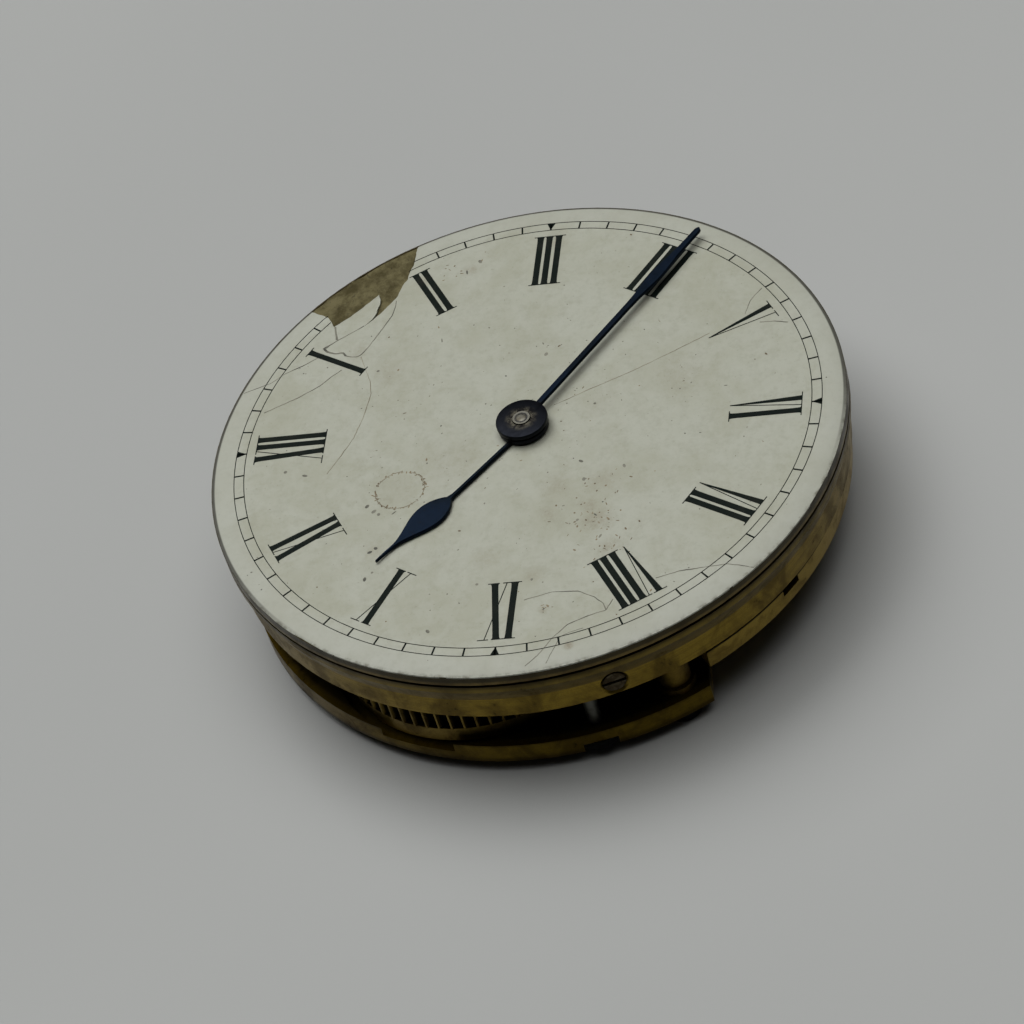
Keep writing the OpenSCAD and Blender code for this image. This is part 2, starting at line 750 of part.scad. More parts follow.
module centre_bushes() color("gold") {
    ring(bush_r - seat_clear, centre_pivot_r + run_clear, plate_z0 + centre_sink_d,
        plate_z1 - motion_sink_d);
    ring(bush_r - seat_clear, centre_pivot_r + run_clear, back_z0, back_z1);
}

module minute_wheel_post() color("silver") {
    at(motion_p) disc(post_r - seat_clear, plate_z0 + centre_sink_d + end_shake, plate_z1 - cut);
}

// Dial
edge_steps = 8;
enamel_r = dial_r - dial_rim_w - seat_clear;
edge_start = enamel_r - enamel_edge_w;
dial_rim_z = dial_z - enamel_drop;

module dial_base() color("sienna") {
    rotate_extrude($fn = 180) polygon([[dial_hole_r, base_z0], [dial_r, base_z0], [dial_r, dial_rim_z],
        [dial_r - dial_rim_w, dial_rim_z], [dial_r - dial_rim_w, base_z1], [dial_hole_r, base_z1]]);
    ring(dial_seat_r + dial_seat_w, dial_seat_r, plate_z1, base_z0 + cut);
    for (c = feet) at(polar(foot_orbit, c)) disc(foot_r, plate_z1 - foot_in, base_z0 + cut);
}

module dial_enamel() color("ivory") {
    difference() {
        rotate_extrude($fn = 180) polygon(concat(
            [[dial_hole_r, base_z1], [dial_hole_r, dial_z]],
            [for (i = [0:edge_steps]) let (t = i / edge_steps)
                [edge_start + enamel_edge_w * t, dial_z - enamel_drop * t * t]],
            [[enamel_r, base_z1]]));
        slab(base_z1 - end_shake, dial_z + cut) polygon(chip_pts);
    }
}

// Hands
function swell(r) = exp(-pow((r - swell_at) / swell_spread, 2));
function minute_half(r) = (minute_w + (minute_leaf_w - minute_w) * swell(r)) / 2;
function leaf_share(r) = r <= leaf_from || r >= leaf_to ? 0
    : sin(180 * pow((r - leaf_from) / (leaf_to - leaf_from), leaf_skew));
function hour_taper(r) = r < leaf_to ? 1 : 1 - hour_point_loss * (r - leaf_to) / (hour_l - leaf_to);
function hour_half(r) = (hour_w * hour_taper(r) + (hour_leaf_w - hour_w) * leaf_share(r)) / 2;

minute_tip = minute_half(minute_l);
minute_side = [for (i = [0:hand_steps]) let (r = (minute_l - minute_tip) * i / hand_steps)
    [minute_half(r), r]];
minute_end = [for (i = [1:tip_steps - 1]) let (a = 180 * i / tip_steps)
    [minute_tip * cos(a), minute_l - minute_tip + minute_tip * sin(a)]];
hour_side = [for (i = [0:2 * hand_steps]) let (r = hour_l * i / (2 * hand_steps)) [hour_half(r), r]];

function other_side(side) = [for (p = reversed(side)) [-p[0], p[1]]];

module minute_hand() color("midnightblue") {
    turned(minute_clock) difference() {
        union() {
            disc(minute_boss_r, minute_boss_z0, minute_boss_z1);
            slab(minute_boss_z0, minute_boss_z0 + hand_t) {
                polygon(concat(minute_side, minute_end, other_side(minute_side)));
            }
        }
        disc(cannon_end_r + seat_clear, minute_boss_z0 - cut, minute_boss_z1 + cut);
    }
}

module hour_hand() color("midnightblue") {
    turned(hour_clock) difference() {
        union() {
            disc(hour_boss_r, hour_boss_z0, hour_boss_z1);
            slab(hour_boss_z0, hour_boss_z0 + hand_t) polygon(concat(hour_side, other_side(hour_side)));
        }
        disc(hour_pipe_r + seat_clear, hour_boss_z0 - cut, hour_boss_z1 + cut);
    }
}

// Motion work
module cannon_pinion() color("silver") {
    difference() {
        union() {
            slab(motion_z0, motion_z0 + cannon_leaf_h) pinion_2d(cannon_n, motion_m, motion_clock);
            disc(cannon_pipe_r, motion_z0, minute_boss_z0);
            disc(cannon_end_r, motion_z0, cannon_z1);
        }
        disc(centre_post_r + seat_clear, motion_z0 - cut, cannon_z1 + cut);
    }
}

module hour_wheel() color("goldenrod") {
    difference() {
        union() {
            slab(hour_wheel_z0, hour_wheel_z1) wheel_2d(hour_n, hour_m, motion_clock);
            disc(hour_pipe_r, hour_wheel_z0, hour_boss_z1);
        }
        disc(cannon_pipe_r + run_clear, hour_wheel_z0 - cut, hour_boss_z1 + cut);
    }
}

minute_bore = post_r + run_clear;

module minute_wheel() color("goldenrod") {
    at(motion_p) slab(motion_z0 + motion_step, motion_z0 + motion_step + motion_t) difference() {
        wheel_2d(minute_n, motion_m, motion_clock + 180);
        circle(r = minute_bore);
    }
}

module minute_pinion() color("silver") {
    at(motion_p) slab(motion_z0 + motion_step + motion_t, hour_wheel_z1 + motion_step) difference() {
        pinion_2d(minute_pinion_n, hour_m, motion_clock + 180);
        circle(r = minute_bore);
    }
}

// Going train
module centre_arbor() color("silver") {
    disc(centre_body_r, back_z1 + end_shake, centre_z0);
    slab(tooth_z0 + air, barrel_z1 + pinion_over) pinion_2d(centre_pinion_n, barrel_m, barrel_clock);
    disc(centre_body_r - shoulder, centre_z0 - cut, plate_z0 + centre_sink_d - end_shake);
    disc(centre_pivot_r, back_z0, plate_z1 - motion_sink_d);
    disc(centre_post_r, plate_z1 - motion_sink_d - cut, cannon_z1);
    translate([-centre_square / 2, -centre_square / 2, square_z0]) {
        cube([centre_square, centre_square, back_z0 - square_z0 + cut]);
    }
}

module centre_wheel() color("goldenrod") {
    crossed_wheel(centre_z0, centre_z1, centre_n, centre_m, third_clock, centre_hub_r,
        centre_body_r - shoulder + seat_clear, wheel_arms);
}

third_back = third_clock + 180;

module third_arbor() color("silver") {
    at(third_p) {
        pivoted(back_z1 + end_shake, plate_z0 + centre_sink_d - end_shake, arbor_r, pivot_r, jewel_t);
        slab(centre_z0 - pinion_over, centre_z1 + pinion_over) pinion_2d(pinion_n, centre_m, third_back);
    }
}

module third_wheel() color("goldenrod") {
    at(third_p) crossed_wheel(third_z0, third_z1, third_n, third_m, fourth_bearing, hub_r,
        arbor_r + seat_clear, wheel_arms);
}

module fourth_arbor() color("silver") {
    at(fourth_p) {
        pivoted(back_z1 + end_shake, plate_z0 - end_shake, arbor_r, pivot_r, jewel_t);
        slab(third_z0 - pinion_over, third_z1 + pinion_over) {
            pinion_2d(pinion_n, third_m, fourth_bearing + 180);
        }
    }
}

module fourth_wheel() color("goldenrod") {
    at(fourth_p) crossed_wheel(fourth_z0, fourth_z1, fourth_n, fourth_m, escape_bearing, hub_r,
        arbor_r + seat_clear, wheel_arms);
}

escape_arbor_r = 0.25;

module escape_arbor() color("silver") {
    at(escape_p) {
        pivoted(back_z1 + end_shake, plate_z0 - end_shake, escape_arbor_r, pivot_r, jewel_t);
        slab(fourth_z0 - pinion_over, fourth_z1 + pinion_over) {
            pinion_2d(escape_pinion_n, fourth_m, escape_bearing + 180);
        }
    }
}

escape_tooth_h = 0.7;
escape_root_r = escape_r - escape_tooth_h;
escape_rim_w = 0.35;
escape_hub_r = 0.7;
club_toe = 0.45;
club_heel = 0.6;
club_back = 0.5;
club_drop = 0.12;

module escape_wheel() color("gold") {
    pitch = 360 / escape_n;
    at(escape_p) difference() {
        slab(escape_z0, escape_z0 + escape_t) polygon([for (i = [0:escape_n - 1]) each [
            polar(escape_root_r, i * pitch),
            polar(escape_r, (i + club_toe) * pitch),
            polar(escape_r - club_drop, (i + club_heel) * pitch),
            polar(escape_root_r, (i + club_back) * pitch)]]);
        windows(escape_root_r - escape_rim_w, escape_hub_r, escape_z0, escape_z0 + escape_t, wheel_arms,
            escape_rim_w);
        disc(escape_arbor_r + seat_clear, escape_z0 - cut, escape_z0 + escape_t + cut);
    }
}

// Barrel and winding work
drum_inner_r = drum_r - drum_wall;

module barrel_drum() color("goldenrod") {
    at(barrel_p) difference() {
        union() {
            slab(tooth_z0, barrel_z1) wheel_2d(barrel_n, barrel_m, barrel_clock + 180);
            disc(drum_r, barrel_z0, tooth_z0 + cut, $fn = 120);
        }
        disc(drum_inner_r, barrel_z0 - cut, barrel_z1 - barrel_floor_t, $fn = 120);
        disc(drum_inner_r + cover_lip, barrel_z0 - cut, barrel_z0 + cover_t, $fn = 120);
        disc(winding_r + run_clear, barrel_z0, barrel_z1 + cut);
    }
}

module barrel_cover() color("gold") {
    at(barrel_p) ring(drum_inner_r + cover_lip - seat_clear, winding_r + run_clear, barrel_z0,
        barrel_z0 + cover_t);
}

spring_side_gap = 0.1;
spring_z0 = barrel_z0 + cover_t + spring_side_gap;
spring_z1 = barrel_z1 - barrel_floor_t - spring_side_gap;
mainspring_in = core_r + mainspring_t / 2 + end_shake;
mainspring_out = drum_inner_r - mainspring_t / 2 - end_shake;
echo(mainspring_gap = (mainspring_out - mainspring_in) / mainspring_turns - mainspring_t);

module mainspring() color("slategray") {
    at(barrel_p) slab(spring_z0, spring_z1) {
        spiral_2d(mainspring_in, mainspring_out, mainspring_turns, mainspring_t);
    }
}

module barrel_arbor() color("silver") {
    at(barrel_p) {
        disc(core_r, spring_z0, spring_z1);
        disc(winding_r, back_z0, barrel_z1 + end_shake);
        disc(barrel_pivot_r, barrel_z1, plate_z0 + barrel_pivot_l);
        translate([-square_w / 2, -square_w / 2, square_z0]) {
            cube([square_w, square_w, back_z0 - square_z0 + cut]);
        }
    }
}

module ratchet_wheel() color("silver") {
    pitch = 360 / ratchet_n;
    at(barrel_p) slab(ratchet_z0, ratchet_z0 + ratchet_t) difference() {
        polygon([for (i = [0:ratchet_n - 1]) each [
            polar(ratchet_r, i * pitch), polar(ratchet_r - ratchet_root, (i + ratchet_undercut) * pitch)]]);
        circle(r = winding_r + seat_clear);
    }
}

module click() color("silver") {
    side = polar(click_arm_w / 2, bearing(click_p, click_tip) + 90);
    slab(ratchet_z0, ratchet_z0 + ratchet_t) difference() {
        union() {
            at(click_p) circle(r = click_boss_r);
            polygon([click_p + side, click_tip, click_p - side]);
        }
        at(click_p) circle(r = click_shank_r + run_clear);
    }
}

module click_screw() color("steelblue") {
    at(click_p) screw(ratchet_z0 - click_head_t - run_clear, click_head_r, click_head_t, click_shank_r,
        back_z1 - barrel_sink_d);
}

module click_spring() color("silver") {
    slab(ratchet_z0, ratchet_z0 + ratchet_t) difference() {
        union() {
            at(spring_foot_p) circle(r = spring_block_r);
            bar(spring_foot_p, spring_end_p, spring_strip_t);
        }
        at(spring_foot_p) circle(r = click_shank_r + seat_clear);
    }
}

module click_spring_screw() color("steelblue") {
    at(spring_foot_p) screw(ratchet_z0 - click_head_t, spring_head_r, click_head_t, click_shank_r,
        back_z1 - barrel_sink_d);
}

// Balance cock and its fittings
module balance_cock() color("gold") {
    difference() {
        union() {
            sector(foot_inner_r, cock_foot_r, foot_z0, plate_z0, cock_foot_clocks[0], cock_foot_clocks[1]);
            sector(foot_inner_r, cock_foot_r - cock_step, cock_z0, foot_z0 + cut, cock_neck_clocks[0],
                cock_neck_clocks[1]);
            slab(cock_z0, cock_z1) {
                at(balance_p) circle(r = cock_table_r);
                bar(balance_p, cock_screw_p, cock_arm_w);
            }
        }
        at(balance_p) disc(jewel_r, cock_z0 + endstone_t, cock_z1 + cut);
        at(balance_p) disc(endstone_r, cock_z0 - cut, cock_z1);
        for (s = [-1, 1]) at(balance_p + polar(cap_screw_orbit, balance_clock + 90 * s)) {
            disc(cap_screw_r, cock_z0 - cut, cock_z0 + endstone_t - seat_clear);
        }
        at(balance_p) sector(curb_orbit - curb_slot_w / 2, curb_orbit + curb_slot_w / 2, cock_z0 - cut,
            cock_z1 + cut, curb_clock - regulator_swing - curb_slot_more,
            curb_clock + regulator_swing + curb_slot_more);
        at(stud_p) disc(stud_r, cock_z0, cock_z1 + cut);
        at(cock_screw_p) {
            disc(cock_screw_r + screw_clear, cock_z0 - cut, plate_z0 + cut);
            disc(cock_head_r + screw_clear, cock_z0 - cut, cock_z0 + cock_head_h);
        }
        for (c = steady_clocks) at(polar(cock_screw_orbit, c)) {
            disc(steady_r, plate_z0 - steady_in - end_shake, plate_z0 + cut);
        }
        sector(cock_foot_r - pry_d, cock_foot_r + cut, plate_z0 - pry_h, plate_z0 + cut, pry_clocks[0],
            pry_clocks[1]);
        // A seam along the joint with the plate
        sector(cock_foot_r - foot_seam_d, cock_foot_r + cut, plate_z0 - foot_seam_h, plate_z0 + cut,
            cock_foot_clocks[0] - foot_seam_past, cock_foot_clocks[1] + foot_seam_past);
    }
}

module cock_screw() color("steelblue") {
    at(cock_screw_p) screw(cock_z0, cock_head_r, cock_head_h, cock_screw_r,
        plate_z0 + steady_in + end_shake);
}

module cock_steady_pins() color("gold") {
    for (c = steady_clocks) at(polar(cock_screw_orbit, c)) {
        disc(steady_r - seat_clear, plate_z0 - steady_in, plate_z0 + steady_in);
    }
}

module cock_jewel() color("crimson") {
    at(balance_p) jewel(jewel_r, cock_z0 + endstone_t, cock_jewel_t, balance_pivot_r);
}

module endstone() color("crimson") {
    at(balance_p) disc(endstone_r - seat_clear, cock_z0, cock_z0 + endstone_t);
}

module endstone_cap() color("silver") {
    at(balance_p) difference() {
        disc(cap_r, cock_z0 - cap_t, cock_z0);
        for (s = [-1, 1]) at(polar(cap_screw_orbit, balance_clock + 90 * s)) {
            disc(cap_screw_r + seat_clear, cock_z0 - cap_t - cut, cock_z0 + cut);
        }
    }
}

module endstone_screws() color("steelblue") {
    for (s = [-1, 1]) at(balance_p + polar(cap_screw_orbit, balance_clock + 90 * s)) {
        disc(cap_screw_r - seat_clear, cock_z0 - cap_t, cock_z0 + endstone_t - 2 * seat_clear);
    }
}

stud_p = balance_p + polar(hairspring_r + hairspring_t / 2 + stud_r + seat_clear, hair_end_clock);

module hairspring_stud() color("silver") {
    at(stud_p) disc(stud_r - seat_clear, cock_z0 + end_shake, hairspring_z1);
}

echo(hairspring_gap = hair_pitch - hairspring_t);

module hairspring() color("steelblue") {
    at(balance_p) turned(hair_end_clock - 360 * hairspring_turns) slab(hairspring_z0, hairspring_z1) {
        spiral_2d(hair_inner, hairspring_r, hairspring_turns, hairspring_t);
    }
}

module regulator() color("silver") {
    at(balance_p) {
        difference() {
            slab(regulator_z0, regulator_z1) {
                circle(r = regulator_r);
                bar([0, 0], polar(curb_orbit + curb_spread + 2 * curb_pin_r, curb_clock), regulator_arm_w);
                bar([0, 0], polar(regulator_l, curb_clock + 180), regulator_arm_w / 2);
            }
            disc(regulator_hole_r, regulator_z0 - cut, regulator_z1 + cut);
        }
        for (s = [-1, 1]) at(polar(curb_orbit + s * curb_spread, curb_clock)) {
            disc(curb_pin_r, regulator_z0, hairspring_z1);
        }
    }
}

// Lever and pallets, drawn from the lever's arbor with the balance ahead along +Y
module stone_2d() {
    for (s = [-1, 1]) translate([0, -pallet_dist]) turned(s * stone_angle) {
        translate([-stone_w / 2, escape_r + stone_clear]) square([stone_w, stone_l]);
    }
}

stone_hold = 0.55;
stone_mid = escape_r + stone_clear + stone_hold * stone_l;

module lever() color("silver") {
    at(pallet_p) turned(lever_bearing) slab(lever_z0, lever_z1) difference() {
        union() {
            translate([-lever_w / 2, 0]) square([lever_w, fork_at - fork_l / 2]);
            translate([-fork_w / 2, fork_at - fork_l]) square([fork_w, fork_l]);
            circle(r = pallet_boss_r);
            for (s = [-1, 1]) {
                bar([0, 0], [0, -pallet_dist] + polar(stone_mid, s * stone_angle), pallet_arm_w);
            }
        }
        translate([-notch_w / 2, fork_at - notch_d]) square([notch_w, notch_d + cut]);
        circle(r = escape_arbor_r + seat_clear);
        offset_stones();
    }
}

module offset_stones() {
    for (s = [-1, 1]) translate([0, -pallet_dist]) turned(s * stone_angle) {
        translate([-stone_w / 2 - seat_clear, escape_r]) {
            square([stone_w + 2 * seat_clear, stone_l + stone_clear]);
        }
    }
}

module pallet_stones() color("crimson") {
    at(pallet_p) turned(lever_bearing) slab(lever_z0, lever_z1) stone_2d();
}

module pallet_arbor() color("silver") {
    at(pallet_p) pivoted(pallet_cock_z1 + end_shake, plate_z0 - end_shake, escape_arbor_r, pivot_r,
        pallet_cock_t);
}

module banking_places() {
    for (s = [-1, 1]) {
        at(pallet_p + polar(banking_at, lever_bearing) + polar(banking_side, lever_bearing + 90 * s)) {
            children();
        }
    }
}

module banking_pins() color("gold") {
    banking_places() disc(banking_r, lever_z0 - banking_over, plate_z0 + banking_in);
}

module pallet_cock() color("gold") {
    difference() {
        union() {
            slab(pallet_cock_z0, pallet_cock_z1) {
                at(pallet_p) circle(r = pallet_bar_w / 2);
                bar(pallet_p, pallet_leg_p, pallet_bar_w);
                at(pallet_leg_p) circle(r = pallet_leg_r);
            }
            at(pallet_leg_p) disc(pallet_leg_r, pallet_cock_z0, plate_z0);
        }
        at(pallet_p) disc(pallet_jewel_r, pallet_cock_z0 - cut, pallet_cock_z1 + cut);
        at(pallet_leg_p) disc(pallet_screw_r + screw_clear, pallet_cock_z0 - cut, plate_z0 + cut);
        at(pallet_leg_p) disc(pallet_head_r + screw_clear, pallet_cock_z0 - cut,
            pallet_cock_z0 + pallet_head_h);
    }
}

module pallet_cock_jewel() color("crimson") {
    at(pallet_p) ring(pallet_jewel_r - seat_clear, pivot_r + run_clear, pallet_cock_z0, pallet_cock_z1);
}

module pallet_cock_screw() color("steelblue") {
    at(pallet_leg_p) screw(pallet_cock_z0, pallet_head_r, pallet_head_h, pallet_screw_r,
        plate_z0 + pallet_screw_in);
}

// Balance
screw_step = 360 / balance_screw_n;

module balance_wheel() color("goldenrod") {
    at(balance_p) turned(balance_clock) difference() {
        union() {
            ring(balance_r, balance_r - balance_rim_w, balance_z0, balance_z1);
            disc(balance_hub_r, balance_z0, balance_z1);
            translate([-balance_arm_w / 2, balance_rim_w / 2 - balance_r, balance_z0]) {
                cube([balance_arm_w, 2 * balance_r - balance_rim_w, balance_h]);
            }
        }
        disc(staff_seat_r + seat_clear, balance_z0 - cut, balance_z1 + cut);
        for (s = [0, 180]) {
            sector(balance_r - balance_rim_w - cut, balance_r + cut, balance_z0 - cut, balance_z1 + cut,
                s + screw_step - rim_gap / 2, s + screw_step + rim_gap / 2);
        }
        for (i = [0:balance_screw_n - 1]) {
            radial((i + 0.5) * screw_step, balance_r - balance_rim_w - cut, (balance_z0 + balance_z1) / 2) {
                cylinder(r = bal_shank_r + seat_clear, h = balance_rim_w + 2 * cut);
            }
        }
    }
}

module balance_screws() color("gold") {
    at(balance_p) turned(balance_clock) for (i = [0:balance_screw_n - 1]) {
        radial((i + 0.5) * screw_step, balance_r - balance_rim_w, (balance_z0 + balance_z1) / 2) {
            cylinder(r = bal_shank_r, h = balance_rim_w + cut);
            translate([0, 0, balance_rim_w + seat_clear]) cylinder(r = bal_screw_r, h = bal_screw_l);
        }
    }
}

module balance_staff() color("silver") {
    at(balance_p) {
        disc(balance_pivot_r, cock_z0 + endstone_t + end_shake, plate_z0 + jewel_t);
        disc(collet_seat_r, cock_z1 + end_shake, balance_z0 + cut);
        disc(staff_seat_r, balance_z0, balance_z1 + end_shake);
        disc(staff_r, balance_z1, plate_z0 - end_shake);
    }
}

module roller() color("silver") {
    at(balance_p) ring(roller_r, staff_r + seat_clear, roller_z0, roller_z0 + roller_t);
}

module impulse_pin() color("crimson") {
    at(balance_p + polar(impulse_orbit, lever_bearing + 180)) {
        disc(impulse_r, lever_z1 + impulse_clear, roller_z0);
    }
}

module hairspring_collet() color("goldenrod") {
    at(balance_p) ring(collet_r, collet_seat_r + seat_clear, hairspring_z0, hairspring_z1);
}

pillar_plate();
three_quarter_plate();
pillars();
pillar_screws();
balance_cock();
cock_screw();
cock_steady_pins();
cock_jewel();
endstone_cap();
endstone();
endstone_screws();
hairspring_stud();
pallet_cock();
pallet_cock_screw();
pallet_cock_jewel();
banking_pins();
pillar_plate_jewels();
back_plate_jewels();
centre_bushes();
dial_base();
dial_enamel();
dial_screws();
case_screws();
minute_wheel_post();
click_screw();
click_spring();
click_spring_screw();
hairspring();
centre_arbor();
centre_wheel();
cannon_pinion();
minute_hand();
hour_wheel();
hour_hand();
minute_wheel();
minute_pinion();
barrel_drum();
barrel_cover();
mainspring();
barrel_arbor();
ratchet_wheel();
third_arbor();
third_wheel();
fourth_arbor();
fourth_wheel();
escape_arbor();
escape_wheel();
lever();
pallet_stones();
pallet_arbor();
balance_wheel();
balance_screws();
balance_staff();
roller();
impulse_pin();
hairspring_collet();
click();
regulator();
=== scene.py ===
# %% [markdown]
# # A pocket watch movement, dressed for its picture
# The object is a bare pocket watch movement that lies dial up: a worn white enamel dial with Roman
# numerals, blued hands, and the edges of its brass plates below. The solids come packed in the frame,
# in metres, with +Z out of the dial and +Y towards 12 o'clock. This script gives them their looks.
# Pieces whose solid shape is already right only get a finish. Pieces that need finer form, such as
# the chipped enamel and the hands, are made again here in the same place.

# %% Load the frame
import json
import math
import random

import bpy
import bmesh
from mathutils import Matrix, Vector, noise
from mathutils.geometry import delaunay_2d_cdt


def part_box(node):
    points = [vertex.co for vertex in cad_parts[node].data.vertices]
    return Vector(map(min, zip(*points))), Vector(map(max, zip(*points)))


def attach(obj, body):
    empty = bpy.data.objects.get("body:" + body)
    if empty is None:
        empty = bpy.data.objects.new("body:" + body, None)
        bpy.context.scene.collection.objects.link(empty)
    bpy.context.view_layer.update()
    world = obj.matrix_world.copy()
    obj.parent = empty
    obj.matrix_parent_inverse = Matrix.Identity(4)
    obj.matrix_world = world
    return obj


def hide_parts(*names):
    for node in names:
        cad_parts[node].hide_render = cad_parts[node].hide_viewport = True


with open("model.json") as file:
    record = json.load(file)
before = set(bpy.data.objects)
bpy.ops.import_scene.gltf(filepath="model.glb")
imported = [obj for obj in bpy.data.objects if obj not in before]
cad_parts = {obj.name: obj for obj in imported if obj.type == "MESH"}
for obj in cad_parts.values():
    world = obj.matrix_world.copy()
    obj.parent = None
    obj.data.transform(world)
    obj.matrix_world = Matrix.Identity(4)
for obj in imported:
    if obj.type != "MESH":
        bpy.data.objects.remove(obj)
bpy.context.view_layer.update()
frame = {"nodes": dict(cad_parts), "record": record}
cad_nodes = frame["nodes"]
MM = 0.001
print("solids in the frame:", len(cad_nodes))

# %% [markdown]
# ## Levels that everything else keeps to
# A dial maker works from the face of the dial, so the script reads that face and the dial's radius
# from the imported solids, and later cells read the plates' and the hands' levels in the same way. No
# level is typed in: when the solids change, the dressed pieces follow.

# %% Read the levels
face_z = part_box("dial_enamel")[1].z
enamel_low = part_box("dial_enamel")[0].z
dial_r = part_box("dial_base")[1].x


def clock_point(r, clock):
    """A point r from the centre at a clock angle: degrees clockwise from 12."""
    a = math.radians(clock)
    return Vector((r * math.sin(a), r * math.cos(a), 0.0))


print(f"face at {face_z / MM:.2f} mm, dial radius {dial_r / MM:.2f} mm")

# %% [markdown]
# ## Camera
# The photo was taken with a long lens from about 44 degrees above the table, with the camera rolled so
# that the dial leans. Its place and turn were found by fitting the printed minute track, which is a true
# circle, to the ellipse in the picture. A camera's matrix has its right, up and backward directions
# as columns, so the three directions are written out and the matrix is put together from them.

# %% Place the camera
def into_scene(name, data):
    """An object for the data, linked to the scene."""
    thing = bpy.data.objects.new(name, data)
    bpy.context.scene.collection.objects.link(thing)
    return thing


lens_data = bpy.data.cameras.new("photo_camera")
lens_data.sensor_width = 36.0
lens_data.lens = 140.6
lens_data.clip_start = 0.01
camera = into_scene("photo_camera", lens_data)
to_right = Vector((0.09670, -0.96948, -0.22531))
to_up = Vector((0.72837, -0.08534, 0.67984))
to_back = Vector((-0.67832, -0.22985, 0.69789))
turn = Matrix((to_right, to_up, to_back)).transposed()
eye = Vector((-170.38, -55.26, 177.65)) * MM
camera.matrix_world = Matrix.Translation(eye) @ turn.to_4x4()
bpy.context.scene.camera = camera
print("camera is", round(eye.length / MM), "mm from the movement's foot")

# %% [markdown]
# ## Node helpers
# Every finish below is a small tree of nodes. A few helpers keep the cells readable: some add a node,
# set its values and link its inputs, and others start a material or a node group with named sockets.
# Groups hold only what changes over a surface, and each material keeps its own shader.

# %% Helpers that add nodes
def feed(tree, node, inputs):
    """Gives a node its inputs: a socket is linked, anything else is set as the value."""
    for name, value in inputs.items():
        if isinstance(value, bpy.types.NodeSocket):
            tree.links.new(value, node.inputs[name])
        else:
            node.inputs[name].default_value = value
    return node


def grow(tree, kind, inputs=None, **settings):
    """Adds a node of any kind, with its settings and inputs."""
    node = tree.nodes.new(kind)
    for name, value in settings.items():
        setattr(node, name, value)
    return feed(tree, node, inputs or {})


def put(tree, kind, inputs=None, **settings):
    """Adds a shader node."""
    return grow(tree, "ShaderNode" + kind, inputs, **settings)


def math_node(tree, operation, *values):
    """One arithmetic step."""
    return put(tree, "Math", dict(enumerate(values)), operation=operation).outputs[0]


print("helpers that add nodes are ready")

# %% Helpers for colours and patterns
def rgb(red, green, blue):
    return (red, green, blue, 1.0)


def blend(tree, factor, a, b):
    """A colour between a and b."""
    return put(tree, "Mix", {0: factor, 6: a, 7: b}, data_type="RGBA").outputs[2]


def ease(tree, value, low, high, to_low=0.0, to_high=1.0):
    """A smooth step of value from low to high."""
    span = {"Value": value, "From Min": low, "From Max": high, "To Min": to_low, "To Max": to_high}
    return put(tree, "MapRange", span, interpolation_type="SMOOTHSTEP").outputs["Result"]


def cloudy(tree, place, scale, detail, roughness=0.5, distortion=0.0):
    """Soft noise over the coordinates."""
    node = put(tree, "TexNoise", {"Vector": place, "Scale": scale, "Detail": detail, "Roughness": roughness,
                                  "Distortion": distortion})
    return node.outputs["Fac"]


def relief(tree, height, strength, depth):
    """The surface direction of a finish that a height map raises a little."""
    bump = put(tree, "Bump", {"Height": height, "Strength": strength, "Distance": depth})
    return bump.outputs["Normal"]


def flatten(tree, place):
    """The coordinates without their height."""
    return put(tree, "VectorMath", {0: place, 1: (1.0, 1.0, 0.0)}, operation="MULTIPLY").outputs[0]


def away_from(tree, flat, x=0.0, y=0.0):
    """Distance of flattened coordinates from an upright axis."""
    return put(tree, "VectorMath", {0: flat, 1: (x, y, 0.0)}, operation="DISTANCE").outputs["Value"]


print("helpers for colours and patterns are ready")

# %% Helpers that start groups and materials
def start_group(name, inputs, outputs):
    """A shader node group with named sockets: inputs are (name, kind, value), outputs (name, kind)."""
    group = bpy.data.node_groups.new(name, "ShaderNodeTree")
    for label, kind, value in inputs:
        socket = group.interface.new_socket(label, in_out="INPUT", socket_type="NodeSocket" + kind)
        if value is not None:
            socket.default_value = value
    for label, kind in outputs:
        group.interface.new_socket(label, in_out="OUTPUT", socket_type="NodeSocket" + kind)
    return group, group.nodes.new("NodeGroupInput").outputs, group.nodes.new("NodeGroupOutput")


def use_group(tree, group, inputs):
    """Places a group in a material and sets its inputs."""
    return put(tree, "Group", inputs, node_tree=group).outputs


def start_material(name):
    """An empty material: its tree, its shader and the object coordinates."""
    material = bpy.data.materials.new(name)
    material.use_nodes = True
    tree = material.node_tree
    shader = tree.nodes["Principled BSDF"]
    place = tree.nodes.new("ShaderNodeTexCoord").outputs["Object"]
    return material, tree, shader, place


print("helpers that start groups and materials are ready")

# %% [markdown]
# ## Old metal: patches of tarnish
# Gilt brass that has been handled for a century and a half is never one colour. Bare gold tones lie
# between brown patches, with nearly black dirt where fingers don't reach. A painter would build this
# in three glazes; here three layers of noise at different sizes do the same. The group is shared by
# brass, steel and the dial's copper, each with its own colours and patch size.

